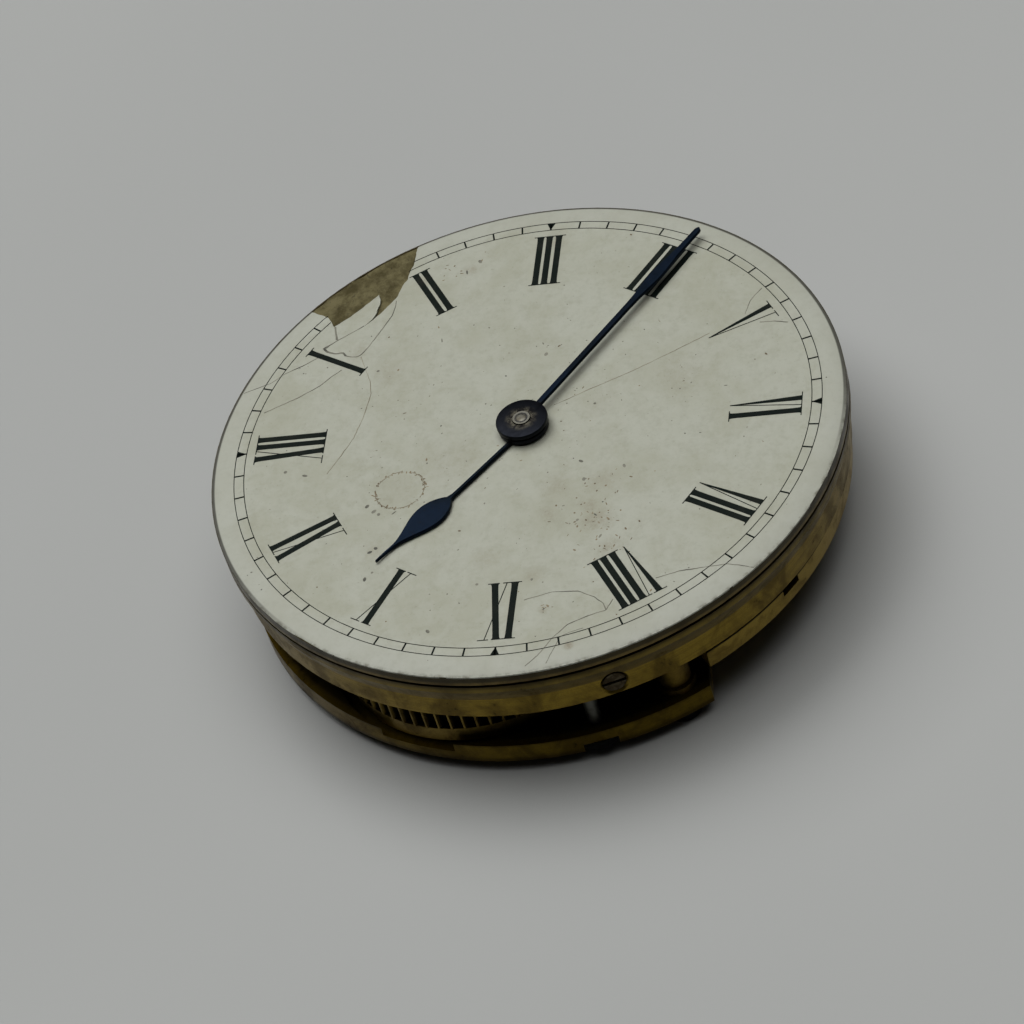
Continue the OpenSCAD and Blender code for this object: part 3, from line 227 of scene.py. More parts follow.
# %% Three layers of noise for the tarnish
SMALL_IN_PATCH, GRAIN_IN_PATCH = 5.3, 24.0
tarnish, g_in, g_out = start_group(
    "tarnish_patches",
    [("Coordinates", "Vector", None), ("Clean", "Color", rgb(0.6, 0.45, 0.15)),
     ("Brown", "Color", rgb(0.3, 0.2, 0.06)), ("Dirt", "Color", rgb(0.04, 0.03, 0.015)),
     ("Patch mm", "Float", 3.0), ("Brown share", "Float", 0.5), ("Dirt share", "Float", 0.3)],
    [("Colour", "Color"), ("Roughness", "Float"), ("Height", "Float")])
patch_scale = math_node(tarnish, "DIVIDE", 1.0 / MM, g_in["Patch mm"])
small_scale = math_node(tarnish, "MULTIPLY", patch_scale, SMALL_IN_PATCH)
grain_scale = math_node(tarnish, "MULTIPLY", patch_scale, GRAIN_IN_PATCH)
broad = cloudy(tarnish, g_in["Coordinates"], patch_scale, 6.0, 0.65, 0.4)
small = cloudy(tarnish, g_in["Coordinates"], small_scale, 5.0, 0.7)
grain = cloudy(tarnish, g_in["Coordinates"], grain_scale, 3.0)
print("tarnish layers per patch:", 1.0, SMALL_IN_PATCH, GRAIN_IN_PATCH)

# %% Mix the layers into tarnish
brown_low = math_node(tarnish, "SUBTRACT", 0.62, math_node(tarnish, "MULTIPLY", g_in["Brown share"], 0.3))
brown_mask = ease(tarnish, broad, brown_low, math_node(tarnish, "ADD", brown_low, 0.22))
mixed = math_node(tarnish, "MULTIPLY_ADD", small, 0.6, math_node(tarnish, "MULTIPLY", broad, 0.4))
dirt_low = math_node(tarnish, "SUBTRACT", 0.68, math_node(tarnish, "MULTIPLY", g_in["Dirt share"], 0.25))
dirt_mask = ease(tarnish, mixed, dirt_low, math_node(tarnish, "ADD", dirt_low, 0.16))
worn = blend(tarnish, brown_mask, g_in["Clean"], g_in["Brown"])
mottled = blend(tarnish, ease(tarnish, grain, 0.35, 0.75, 0.0, 0.35), worn, g_in["Brown"])
rough = math_node(tarnish, "MULTIPLY_ADD", brown_mask, 0.14, 0.3)
rough = math_node(tarnish, "MULTIPLY_ADD", dirt_mask, 0.3, rough)
crust = math_node(tarnish, "MULTIPLY", dirt_mask, 0.6)
feed(tarnish, g_out, {"Colour": blend(tarnish, dirt_mask, mottled, g_in["Dirt"]),
                      "Roughness": math_node(tarnish, "MULTIPLY_ADD", grain, 0.1, rough),
                      "Height": math_node(tarnish, "ADD", grain, crust)})
print("tarnish group has", len(tarnish.nodes), "nodes")

# %% [markdown]
# ## Turning marks
# The plates were turned on a lathe, and their edges and faces keep fine lines that run round the
# axis. A stripe texture would look printed, so noise is stretched instead: it changes fast with
# height and distance from the axis, and slowly with the angle. On a rim this gives level streaks and
# on a flat face rings.

# %% Group for turning marks
turned, g_in, g_out = start_group(
    "turning_marks", [("Coordinates", "Vector", None), ("Spacing mm", "Float", 0.12)],
    [("Height", "Float"), ("Shade", "Float")])
xyz = put(turned, "SeparateXYZ", {0: g_in["Coordinates"]}).outputs
square_sum = math_node(turned, "ADD", math_node(turned, "MULTIPLY", xyz[0], xyz[0]),
                       math_node(turned, "MULTIPLY", xyz[1], xyz[1]))
reach = math_node(turned, "SQRT", square_sum)
bearing = math_node(turned, "ARCTAN2", xyz[1], xyz[0])
line_scale = math_node(turned, "DIVIDE", 1.0 / MM, g_in["Spacing mm"])
line_place = put(turned, "CombineXYZ", {0: math_node(turned, "MULTIPLY", reach, line_scale),
                                        1: math_node(turned, "MULTIPLY", xyz[2], line_scale),
                                        2: math_node(turned, "MULTIPLY", bearing, 3.0)}).outputs[0]
lines = cloudy(turned, line_place, 1.0, 3.0, 0.6)
feed(turned, g_out, {"Height": lines, "Shade": ease(turned, lines, 0.4, 0.7)})
print("turning marks group has", len(turned.nodes), "nodes")

# %% [markdown]
# ## Brass, steel and blued screws
# The frame of the movement is gilt: a dull, warm gold with brown wear and dark dirt. The wheels are
# smoothed brass, a little paler and cleaner because they sit inside. Steel is grey where it was kept
# polished, brown where it was handled, and blue where it was heated. All of them use the two groups
# above, so one function makes them with different colours.

# %% Function for a worn metal
def tarnished(tree, place, colours, patch, shares):
    """The tarnish group in a material: colours are clean, brown and dirt, shares are brown and dirt."""
    clean, brown, dirt = colours
    brown_share, dirt_share = shares
    return use_group(tree, tarnish, {"Coordinates": place, "Clean": clean, "Brown": brown, "Dirt": dirt,
                                     "Patch mm": patch, "Brown share": brown_share, "Dirt share": dirt_share})


def make_metal(name, colours, patch, shares, marks=0.12, rough_add=0.0):
    """A worn metal from the tarnish and turning groups."""
    material, tree, shader, place = start_material(name)
    wear = tarnished(tree, place, colours, patch, shares)
    streaks = use_group(tree, turned, {"Coordinates": place, "Spacing mm": marks})
    brown = colours[1]
    streaked = blend(tree, math_node(tree, "MULTIPLY", streaks["Shade"], 0.3), wear["Colour"], brown)
    height = math_node(tree, "MULTIPLY_ADD", streaks["Height"], 0.6, wear["Height"])
    feed(tree, shader, {"Base Color": streaked, "Metallic": 1.0,
                        "Roughness": math_node(tree, "ADD", wear["Roughness"], rough_add),
                        "Normal": relief(tree, height, 0.15, 0.02 * MM)})
    return material


print("worn metals can be made")

# %% Make the brass and steel finishes
gilt_brass = make_metal(
    "gilt_brass", (rgb(0.48, 0.33, 0.07), rgb(0.24, 0.15, 0.035), rgb(0.025, 0.018, 0.008)),
    2.6, (0.7, 0.45))
wheel_brass = make_metal(
    "wheel_brass", (rgb(0.55, 0.39, 0.12), rgb(0.32, 0.21, 0.06), rgb(0.05, 0.035, 0.015)),
    2.6, (0.5, 0.25), marks=0.08)
steel = make_metal(
    "polished_steel", (rgb(0.5, 0.5, 0.48), rgb(0.3, 0.27, 0.23), rgb(0.06, 0.045, 0.03)),
    1.6, (0.35, 0.3), marks=0.05)
old_steel = make_metal(
    "old_steel", (rgb(0.16, 0.157, 0.134), rgb(0.095, 0.084, 0.06), rgb(0.025, 0.02, 0.014)),
    0.8, (0.6, 0.45), marks=0.05, rough_add=0.12)
brown_steel = make_metal(
    "brown_steel", (rgb(0.1, 0.085, 0.055), rgb(0.05, 0.036, 0.018), rgb(0.01, 0.008, 0.005)),
    0.5, (0.75, 0.6), marks=0.05, rough_add=0.1)
screw_blue = make_metal(
    "blued_screws", (rgb(0.012, 0.02, 0.06), rgb(0.022, 0.019, 0.036), rgb(0.01, 0.008, 0.008)),
    1.2, (0.5, 0.3), marks=0.06)
# Painted shade: the pillar screws, which stand under the back plate, get this near-black steel in place of
# the shade there.
shade_black_steel = make_metal(
    "shade_black_steel", (rgb(0.012, 0.012, 0.014), rgb(0.016, 0.012, 0.009), rgb(0.006, 0.005, 0.004)),
    0.9, (0.5, 0.4), marks=0.05, rough_add=0.1)
for metal in (gilt_brass, wheel_brass, steel, old_steel, brown_steel, screw_blue, shade_black_steel):
    print("metal:", metal.name)

# %% [markdown]
# ## Plates with a dark inside
# Between the plates the gilding is painted nearly black as painted shade, while the turned edges
# that hands have rubbed still shine. The plates' material is the same gilt brass, dimmed with painted shade
# where the surface lies between the two plates and away from the rim, just under the dial and along the back
# plate's edges. Each dark place is a mask made from the height or from the distance to the axis.

# %% Wear of the plates
gilt_plates, tree, shader, place = start_material("gilt_plates")
wear = tarnished(tree, place, (rgb(0.24, 0.165, 0.024), rgb(0.115, 0.077, 0.013), rgb(0.016, 0.012, 0.005)),
                 2.2, (0.75, 0.5))
streaks = use_group(tree, turned, {"Coordinates": place, "Spacing mm": 0.13})
worn = blend(tree, math_node(tree, "MULTIPLY", streaks["Shade"], 0.4), wear["Colour"], rgb(0.1, 0.063, 0.014))
height = put(tree, "SeparateXYZ", {0: place}).outputs[2]
reach = away_from(tree, flatten(tree, place))
back_low, back_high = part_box("three_quarter_plate")[0].z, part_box("three_quarter_plate")[1].z
plate_low, plate_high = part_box("pillar_plate")[0].z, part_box("pillar_plate")[1].z
print(f"back plate {back_low / MM:.2f} to {back_high / MM:.2f} mm, pillar plate {plate_low / MM:.2f} "
      f"to {plate_high / MM:.2f} mm")

# %% Dark places of the pillar plate and between the plates
grey_top = ease(tree, height, plate_low + 1.5 * MM, plate_low + 2.4 * MM, 0.0, 0.55)
worn = blend(tree, grey_top, worn, rgb(0.1, 0.078, 0.027))
# Painted shade: the top of the pillar plate just under the dial goes nearly black.
shade_under_dial = ease(tree, height, plate_high - 0.4 * MM, plate_high, 0.0, 0.8)
worn = blend(tree, shade_under_dial, worn, rgb(0.022, 0.016, 0.007))
# Painted shade: surfaces between the plates and away from the rim go nearly black.
between = math_node(tree, "MULTIPLY", ease(tree, height, back_high - 0.9 * MM, back_high - 0.5 * MM),
                    ease(tree, height, plate_low + 0.6 * MM, plate_low + 0.2 * MM))
inside = math_node(tree, "MULTIPLY", between, ease(tree, reach, 19.3 * MM, 18.7 * MM, 0.0, 0.93))
print("masks made: top of the rim, under the dial, inside")

# %% Dark edges of the back plate
def dim(tree, factor, colour, tint):
    """The colour multiplied by a tint, as far as the factor says."""
    mix = put(tree, "Mix", {0: factor, 6: colour, 7: tint}, data_type="RGBA", blend_type="MULTIPLY")
    return mix.outputs[2]


rim_only = ease(tree, reach, 18.6 * MM, 19.2 * MM)
back = math_node(tree, "MULTIPLY", ease(tree, height, back_high + 0.4 * MM, back_high), rim_only)
worn = dim(tree, back, worn, rgb(0.72, 0.7, 0.4))
# Painted shade: the back plate's lower edge by the floor and its upper edge at the gap between the plates are
# darkened.
lower_edge = ease(tree, height, back_low + 0.45 * MM, back_low + 0.1 * MM, 0.0, 0.8)
upper_edge = ease(tree, height, back_high - 0.25 * MM, back_high, 0.0, 0.6)
back_edge_shade = math_node(tree, "MAXIMUM", lower_edge, upper_edge)
worn = dim(tree, math_node(tree, "MULTIPLY", back, back_edge_shade), worn, rgb(0.3, 0.28, 0.22))
plate_height = math_node(tree, "MULTIPLY_ADD", streaks["Height"], 0.8, wear["Height"])
feed(tree, shader, {"Base Color": blend(tree, inside, worn, rgb(0.012, 0.009, 0.004)), "Metallic": 1.0,
                    "Roughness": math_node(tree, "MULTIPLY_ADD", inside, 0.3, wear["Roughness"]),
                    "Normal": relief(tree, plate_height, 0.25, 0.03 * MM)})
print("plates' finish has", len(tree.nodes), "nodes")

# %% [markdown]
# ## Pillars, cock and case screws
# The pillars stand between the plates, so their darker gilt is painted shade. The balance cock is as bright
# as the plates, but a line of black dirt has settled in the seam where its foot meets the pillar plate. The
# case screws are dull steel between the plates, and their heads, sunk in the back plate, are painted nearly
# black as painted shade.
# Cock and screws are the same worn metal with a mask by height.

# %% Make the finishes of pillars, cock and case screws
def masked_metal(name, colours, patch, low, high, hidden):
    """A worn metal that turns to the hidden colour as the height goes from low to high."""
    material, tree, shader, place = start_material(name)
    wear = tarnished(tree, place, colours, patch, (0.6, 0.4))
    mask = ease(tree, put(tree, "SeparateXYZ", {0: place}).outputs[2], low, high, 0.0, 0.95)
    feed(tree, shader, {"Base Color": blend(tree, mask, wear["Colour"], hidden), "Metallic": 1.0,
                        "Roughness": math_node(tree, "MULTIPLY_ADD", mask, 0.3, wear["Roughness"]),
                        "Normal": relief(tree, wear["Height"], 0.2, 0.02 * MM)})
    return material


# Painted shade: the pillars get a darker gilt because they stand in the shade between the plates.
pillar_gilt_shaded = make_metal(
    "pillar_gilt_shaded", (rgb(0.2, 0.135, 0.026), rgb(0.1, 0.065, 0.014), rgb(0.012, 0.009, 0.004)),
    1.6, (0.8, 0.6))
cock_gilt = masked_metal(
    "cock_gilt", (rgb(0.3, 0.21, 0.04), rgb(0.165, 0.11, 0.022), rgb(0.02, 0.015, 0.006)),
    2.2, plate_low - 0.5 * MM, plate_low - 0.42 * MM, rgb(0.006, 0.0045, 0.002))
# Painted shade: the case screws turn nearly black below the top of the back plate, where their heads lie in
# shade.
rod_steel_head_shade = masked_metal(
    "rod_steel_head_shade", (rgb(0.13, 0.132, 0.115), rgb(0.08, 0.08, 0.066), rgb(0.03, 0.026, 0.02)),
    0.9, back_high + 0.1 * MM, back_high - 0.1 * MM, rgb(0.003, 0.003, 0.003))
print("own finishes:", [metal.name for metal in (pillar_gilt_shaded, cock_gilt, rod_steel_head_shade)])

# %% [markdown]
# ## The barrel, with black between its teeth
# The going barrel turns once in seven hours. The gaps of its teeth are darkened nearly black, and only the
# tips stay bright. The material measures the distance from the barrel's own axis: in the band of the teeth,
# whatever lies below the tips is nearly black.

# %% Make the barrel's finish
barrel_brass, tree, shader, place = start_material("barrel_brass")
wear = tarnished(tree, place, (rgb(0.21, 0.147, 0.034), rgb(0.105, 0.07, 0.016), rgb(0.02, 0.014, 0.006)),
                 1.8, (0.7, 0.5))
drum_low, drum_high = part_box("barrel_drum")
tip_r = (drum_high.x - drum_low.x) / 2.0
teeth_low = drum_high.z - 2.1 * MM
axis = (drum_low + drum_high) / 2.0
height = put(tree, "SeparateXYZ", {0: place}).outputs[2]
toothed = ease(tree, height, teeth_low - 0.04 * MM, teeth_low + 0.04 * MM)
away = away_from(tree, flatten(tree, place), axis.x, axis.y)
gap = math_node(tree, "MULTIPLY", toothed, ease(tree, away, tip_r - 0.04 * MM, tip_r - 0.25 * MM, 0.0, 0.96))
feed(tree, shader, {"Base Color": blend(tree, gap, wear["Colour"], rgb(0.006, 0.005, 0.003)), "Metallic": 1.0,
                    "Roughness": math_node(tree, "MULTIPLY_ADD", gap, 0.3, wear["Roughness"]),
                    "Normal": relief(tree, wear["Height"], 0.2, 0.02 * MM)})
print(f"barrel's finish made, tips at {tip_r / MM:.2f} mm")

# %% [markdown]
# ## Ruby
# Bearing jewels are synthetic or natural ruby, deep red and polished. Seen from outside they are
# small rings of colour, so a glossy body with cloudy red under a clear coat is enough; real
# refraction would cost render time that nobody sees.

# %% Make the ruby
ruby, tree, shader, place = start_material("ruby")
cloud = cloudy(tree, place, 2200.0, 3.0)
red = blend(tree, ease(tree, cloud, 0.3, 0.7), rgb(0.32, 0.01, 0.035), rgb(0.62, 0.05, 0.1))
feed(tree, shader, {"Base Color": red, "Roughness": ease(tree, cloud, 0.3, 0.8, 0.08, 0.2),
                    "Coat Weight": 0.6, "IOR": 1.76})
print("ruby has", len(tree.nodes), "nodes")

# %% [markdown]
# ## The dial's copper and the ground under the enamel
# Enamel is fired on a copper plate with an upturned edge. From the side that edge is a dark, greenish
# grey line under the white, then brown copper. Where the enamel has broken away, a rough ground coat
# shows: tan, clouded and pitted. The copper's material looks at the height to know which strip it is
# painting; the ground gets its pits and its clouds from noise of two sizes.

# %% Make the copper
copper, tree, shader, place = start_material("dial_copper")
wear = tarnished(tree, place, (rgb(0.14, 0.1, 0.031), rgb(0.075, 0.052, 0.018), rgb(0.018, 0.013, 0.005)),
                 2.5, (0.7, 0.35))
height = put(tree, "SeparateXYZ", {0: place}).outputs[2]
under_white = ease(tree, height, face_z - 0.78 * MM, face_z - 0.58 * MM, 0.0, 0.85)
feed(tree, shader, {"Base Color": blend(tree, under_white, wear["Colour"], rgb(0.024, 0.02, 0.009)),
                    "Roughness": wear["Roughness"], "Metallic": 0.85,
                    "Normal": relief(tree, wear["Height"], 0.3, 0.04 * MM)})
print("copper has", len(tree.nodes), "nodes")

# %% Make the ground
ground, tree, shader, place = start_material("chip_ground")
clouds = cloudy(tree, place, 650.0, 8.0, 0.72)
pits = cloudy(tree, place, 2300.0, 6.0, 0.75, 0.6)
tan = blend(tree, ease(tree, clouds, 0.36, 0.62), rgb(0.145, 0.125, 0.055), rgb(0.06, 0.049, 0.017))
tan = blend(tree, ease(tree, pits, 0.57, 0.7, 0.0, 0.75), tan, rgb(0.02, 0.017, 0.009))
pitted = math_node(tree, "MULTIPLY_ADD", pits, -0.6, clouds)
feed(tree, shader, {"Base Color": tan, "Roughness": ease(tree, clouds, 0.3, 0.7, 0.6, 0.85),
                    "Normal": relief(tree, pitted, 0.6, 0.05 * MM), "Specular IOR Level": 0.2})
print("ground has", len(tree.nodes), "nodes")

# %% [markdown]
# ## White enamel
# The dial is fired white glass, gone to a greyish cream. Handling has left soft yellow-grey clouds,
# brown stains near the lower middle, and a cleaner, whiter border outside the minute track where the
# case covered it. On the far half of the edge, away from the camera, a thin dark line is painted shade. The
# clouds and pits are noise; the border and the line are steps in the distance from the axis, and the line
# fades out towards the camera; the stains are soft spots at the places where the photo shows them.

# %% Clouds and pores of the enamel
enamel, tree, shader, place = start_material("white_enamel")
clouds = cloudy(tree, place, 260.0, 8.0, 0.68, 0.3)
mottle = cloudy(tree, place, 1500.0, 6.0, 0.72)
pores = cloudy(tree, place, 5200.0, 3.0, 0.6)
cream = blend(tree, ease(tree, clouds, 0.38, 0.66), rgb(0.435, 0.446, 0.372), rgb(0.392, 0.398, 0.315))
cream = blend(tree, ease(tree, mottle, 0.42, 0.74, 0.0, 0.5), cream, rgb(0.33, 0.33, 0.255))
cream = blend(tree, ease(tree, pores, 0.62, 0.78, 0.0, 0.5), cream, rgb(0.21, 0.21, 0.16))
print("clouds, mottle and pores mixed")

# %% Border and worn edge of the enamel
AWAY_FROM_CAMERA = (0.947, 0.321, 0.0)
flat = flatten(tree, place)
reach = away_from(tree, flat)
border = ease(tree, reach, 17.9 * MM, 19.0 * MM, 0.0, 0.4)
whole = blend(tree, border, cream, rgb(0.44, 0.45, 0.395))
worn_edge = math_node(tree, "MULTIPLY", ease(tree, reach, 19.78 * MM, 19.97 * MM),
                      ease(tree, mottle, 0.42, 0.66, 0.05, 0.8))
whole = blend(tree, worn_edge, whole, rgb(0.14, 0.135, 0.1))
# Painted shade: a thin dark line along the edge on the side away from the camera, fading out towards the near
# side.
outward = put(tree, "VectorMath", {0: place, 1: AWAY_FROM_CAMERA}, operation="DOT_PRODUCT").outputs["Value"]
far_side_shade = ease(tree, outward, -13.0 * MM, -3.0 * MM, 0.0, 0.9)
far_edge_shade = math_node(tree, "MULTIPLY", far_side_shade, ease(tree, reach, 19.72 * MM, 19.83 * MM))
whole = blend(tree, far_edge_shade, whole, rgb(0.05, 0.048, 0.038))
print("border and edge mixed")

# %% Stains of the enamel
STAINS = [(-8.3, -5.3, 1.5, 0.35), (-10.6, -6.2, 1.1, 0.3), (-7.0, -4.7, 0.9, 0.28), (16.6, -0.4, 0.8, 0.25),
          (-5.0, -5.4, 1.6, 0.2), (14.4, 8.0, 0.8, 0.35), (-2.2, 4.4, 3.0, 0.12), (-18.2, -4.4, 0.5, 0.6),
          (-5.2, -2.4, 1.5, 0.2), (-7.5, -2.2, 0.9, 0.24), (-10.7, 1.4, 1.3, 0.17), (14.9, 5.0, 0.8, 0.32),
          (6.2, 9.4, 1.6, 0.17), (-12.4, -1.7, 0.9, 0.22), (3.4, -9.4, 2.4, 0.12), (-15.2, -2.6, 0.5, 0.38),
          (-9.2, 8.5, 1.0, 0.2), (-4.3, 7.4, 1.9, 0.13), (1.5, -4.6, 1.6, 0.13), (8.2, 11.6, 1.2, 0.2)]
speckle = cloudy(tree, place, 2600.0, 4.0, 0.8)
for x, y, size, strength in STAINS:
    away = away_from(tree, flat, x * MM, y * MM)
    spot = ease(tree, away, size * MM, 0.1 * size * MM, 0.0, strength)
    spot = math_node(tree, "MULTIPLY", spot, ease(tree, speckle, 0.35, 0.6, 0.35, 1.0))
    whole = blend(tree, spot, whole, rgb(0.2, 0.155, 0.085))
ripple = math_node(tree, "MULTIPLY_ADD", mottle, 0.4, clouds)
feed(tree, shader, {"Base Color": whole, "Roughness": ease(tree, mottle, 0.3, 0.75, 0.38, 0.55),
                    "Normal": relief(tree, ripple, 0.12, 0.05 * MM), "Specular IOR Level": 0.22})
print("enamel made with", len(STAINS), "stains")

# %% [markdown]
# ## Ink and old dirt
# The numerals are fired black with a green cast, a little thin in places. The hairline cracks have
# filled with grey-brown dirt, some scars and specks are brown or rusty, and old oil has gone black.
# Each dirt is two colours that noise mixes in patches, so one function makes them all.

# %% Make the ink and the dirt
ink, tree, shader, place = start_material("dial_ink")
thin = cloudy(tree, place, 700.0, 5.0, 0.7)
black = blend(tree, ease(tree, thin, 0.42, 0.75), rgb(0.006, 0.01, 0.008), rgb(0.018, 0.02, 0.016))
feed(tree, shader, {"Base Color": black, "Roughness": ease(tree, thin, 0.3, 0.7, 0.4, 0.6),
                    "Specular IOR Level": 0.04})


def patchy_dirt(name, first, second, scale, detail, rough):
    """Two colours in patches."""
    material, tree, shader, place = start_material(name)
    patches = ease(tree, cloudy(tree, place, scale, detail), 0.35, 0.65)
    feed(tree, shader, {"Base Color": blend(tree, patches, first, second), "Roughness": rough})
    return material


crack_dirt = patchy_dirt("crack_dirt", rgb(0.075, 0.075, 0.058), rgb(0.23, 0.225, 0.175), 900.0, 5.0, 0.7)
scar_brown = patchy_dirt("scar_brown", rgb(0.33, 0.31, 0.23), rgb(0.19, 0.165, 0.11), 1300.0, 5.0, 0.7)
crack_oil = patchy_dirt("old_oil", rgb(0.008, 0.007, 0.005), rgb(0.02, 0.016, 0.01), 2500.0, 4.0, 0.5)
rust_brown = patchy_dirt("rust_brown", rgb(0.24, 0.19, 0.11), rgb(0.1, 0.066, 0.03), 1500.0, 4.0, 0.8)
print("ink and dirt:", [dirt.name for dirt in (ink, crack_dirt, scar_brown, crack_oil, rust_brown)])

# %% [markdown]
# ## Blued hands
# The hands are blued steel: heat gives a thin dark oxide that runs from navy to nearly black, so the
# blue is broken up with slow noise and a few brown points. Round the arbor the boss is grimy, further
# out it is black, and steps in the distance from the axis tell both from the blue blades.

# %% Make the blued steel
GRIME_FULL, GRIME_END, BLACK_FULL, BLACK_END = 0.6 * MM, 1.15 * MM, 1.5 * MM, 2.2 * MM
blued, tree, shader, place = start_material("blued_hands")
slow = cloudy(tree, place, 260.0, 4.0, 0.55)
fine = cloudy(tree, place, 2400.0, 4.0, 0.75)
blue = blend(tree, ease(tree, slow, 0.38, 0.62), rgb(0.005, 0.008, 0.012), rgb(0.006, 0.011, 0.021))
blue = blend(tree, ease(tree, fine, 0.58, 0.75, 0.0, 0.7), blue, rgb(0.02, 0.016, 0.013))
reach = away_from(tree, flatten(tree, place))
grime = blend(tree, ease(tree, fine, 0.42, 0.62), rgb(0.012, 0.011, 0.01), rgb(0.09, 0.083, 0.063))
sheen = blend(tree, ease(tree, reach, GRIME_FULL, GRIME_END), grime, rgb(0.009, 0.01, 0.013))
feed(tree, shader, {"Base Color": blend(tree, ease(tree, reach, BLACK_END, BLACK_FULL), blue, sheen),
                    "Roughness": ease(tree, fine, 0.3, 0.75, 0.3, 0.55), "Metallic": 1.0,
                    "Normal": relief(tree, fine, 0.12, 0.02 * MM)})
print("blued steel has", len(tree.nodes), "nodes")

# %% [markdown]
# ## Finishes on the solids
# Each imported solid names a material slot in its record. The solids keep their meshes and only get a
# finish, so one table from slot to material serves most of them, and a second table names the few that
# have a finish of their own.

# %% Give each solid its finish
finish = {"gilt_brass": gilt_brass, "wheel_brass": wheel_brass, "polished_steel": steel,
          "blued_steel": screw_blue, "ruby": ruby, "dial_copper": copper, "white_enamel": enamel}
special = {"pillar_plate": gilt_plates, "three_quarter_plate": gilt_plates, "barrel_drum": barrel_brass,
           "dial_screws": brown_steel, "case_screws": rod_steel_head_shade, "pillar_screws": shade_black_steel,
           "pillars": pillar_gilt_shaded, "balance_cock": cock_gilt, "cannon_pinion": old_steel,
           "centre_arbor": old_steel}
# Painted shade: pillars, case screws and pillar screws get darkened finishes in place of the shade between
# and under the plates.
for part in frame["record"]["subparts"]:
    mesh = cad_nodes[part["node"]].data
    mesh.materials.clear()
    mesh.materials.append(special.get(part["node"], finish[part["material_slot"]]))

# %% [markdown]
# ## The outline of the enamel, with its chip
# The face is flat and falls off in a soft curve near the edge. Between 1 and 2 o'clock a piece has
# broken away and left a ragged bay with a white tongue in it. The bay could be cut out with a boolean,
# but its broken line is easier to draw: a few corners are joined by a line that wanders. The rest of
# the outline is the enamel's edge, which laps over the copper on the near side and has small nicks.

# %% Height and edge of the enamel
FALL_W, FALL_DEPTH = 1.1 * MM, 0.17 * MM
NEAR_CLOCK, NEAR_LAP, RIM_SHORT = 251.0, 0.02 * MM, 0.06
NICK_DEPTH, NICK_LEVEL, NICK_ROUND = 0.12, 0.25, 9.0
enamel_r = dial_r + NEAR_LAP


def face_height(r):
    """Height of the enamel at a distance from the axis."""
    fall = max(0.0, (r - (enamel_r - FALL_W)) / FALL_W)
    return face_z - FALL_DEPTH * fall * fall


def rim_reach(clock):
    """The enamel's radius: largest on the near side, shorter on the far side, less a nick here and there."""
    short = RIM_SHORT * (1.0 - math.cos(math.radians(clock - NEAR_CLOCK)))
    nick = NICK_DEPTH * max(0.0, noise.noise(clock_point(NICK_ROUND, clock)) - NICK_LEVEL)
    return enamel_r - (short + nick) * MM


def rim_point(clock):
    return tuple(clock_point(rim_reach(clock), clock).xy)


def clock_of(point):
    """The clock angle of a point (x, y), in degrees."""
    return math.degrees(math.atan2(*point))


print(f"enamel reaches {rim_reach(NEAR_CLOCK) / MM:.2f} mm on the near side")

# %% Outline of the chip
CHIP_CORNERS = [(12.53, 15.39), (11.69, 14.07), (10.8, 13.62), (11.35, 12.89), (12.4, 11.82), (13.39, 10.95),
                (12.61, 10.72), (11.36, 11.03), (10.52, 11.59), (11.5, 10.71), (12.68, 9.86), (14.63, 9.23),
                (16.0, 8.92), (17.87, 8.8)]
JAGS_PER_MM = 2.1


def ragged(corners, step, depth):
    """The corners joined by a line that wanders like a broken edge; the ends stay where they are."""
    points = []
    for (x0, y0), (x1, y1) in zip(corners, corners[1:]):
        count = max(1, round(math.hypot(x1 - x0, y1 - y0) / step))
        for i in range(count):
            t = i / count
            x, y = x0 + (x1 - x0) * t, y0 + (y1 - y0) * t
            wander_x = depth * noise.noise(Vector((JAGS_PER_MM * x, JAGS_PER_MM * y, 4.0)))
            wander_y = depth * noise.noise(Vector((JAGS_PER_MM * x, JAGS_PER_MM * y, 14.0)))
            keep = 0.0 if not points else 1.0
            points.append(((x + wander_x * keep) * MM, (y + wander_y * keep) * MM))
    points.append((corners[-1][0] * MM, corners[-1][1] * MM))
    return points


chip_line = ragged(CHIP_CORNERS, 0.16, 0.12)
for end in (0, -1):
    chip_line[end] = rim_point(clock_of(chip_line[end]))
chip_from, chip_to = clock_of(chip_line[0]), clock_of(chip_line[-1])
print(f"chip from {chip_from:.1f} to {chip_to:.1f} degrees, {len(chip_line)} points")

# %% [markdown]
# ## The enamel's face and body
# The outline is filled with triangles by a constrained Delaunay routine: it takes an outline plus loose
# points and never leaves a gap. The loose points carry the curve of the edge. The filled face is copied
# below and walls join the two, so that the enamel is a closed plate. In the bay the broken wall slopes
# a little, as broken glass does.

# %% Helpers for outlines
def in_polygon(point, polygon):
    """True if the point lies inside, by counting the sides that a ray crosses."""
    x, y = point
    inside = False
    for (x0, y0), (x1, y1) in zip(polygon, polygon[1:] + polygon[:1]):
        if (y0 > y) != (y1 > y) and x < (x1 - x0) * (y - y0) / (y1 - y0) + x0:
            inside = not inside
    return inside


def far_from(point, line, gap):
    return all((point[0] - x) ** 2 + (point[1] - y) ** 2 > gap * gap for x, y in line)


def loop_edges(first, count):
    """Edges that join count points, numbered from first, in a closed loop."""
    return [(first + i, first + (i + 1) % count) for i in range(count)]


print("outline helpers are ready")

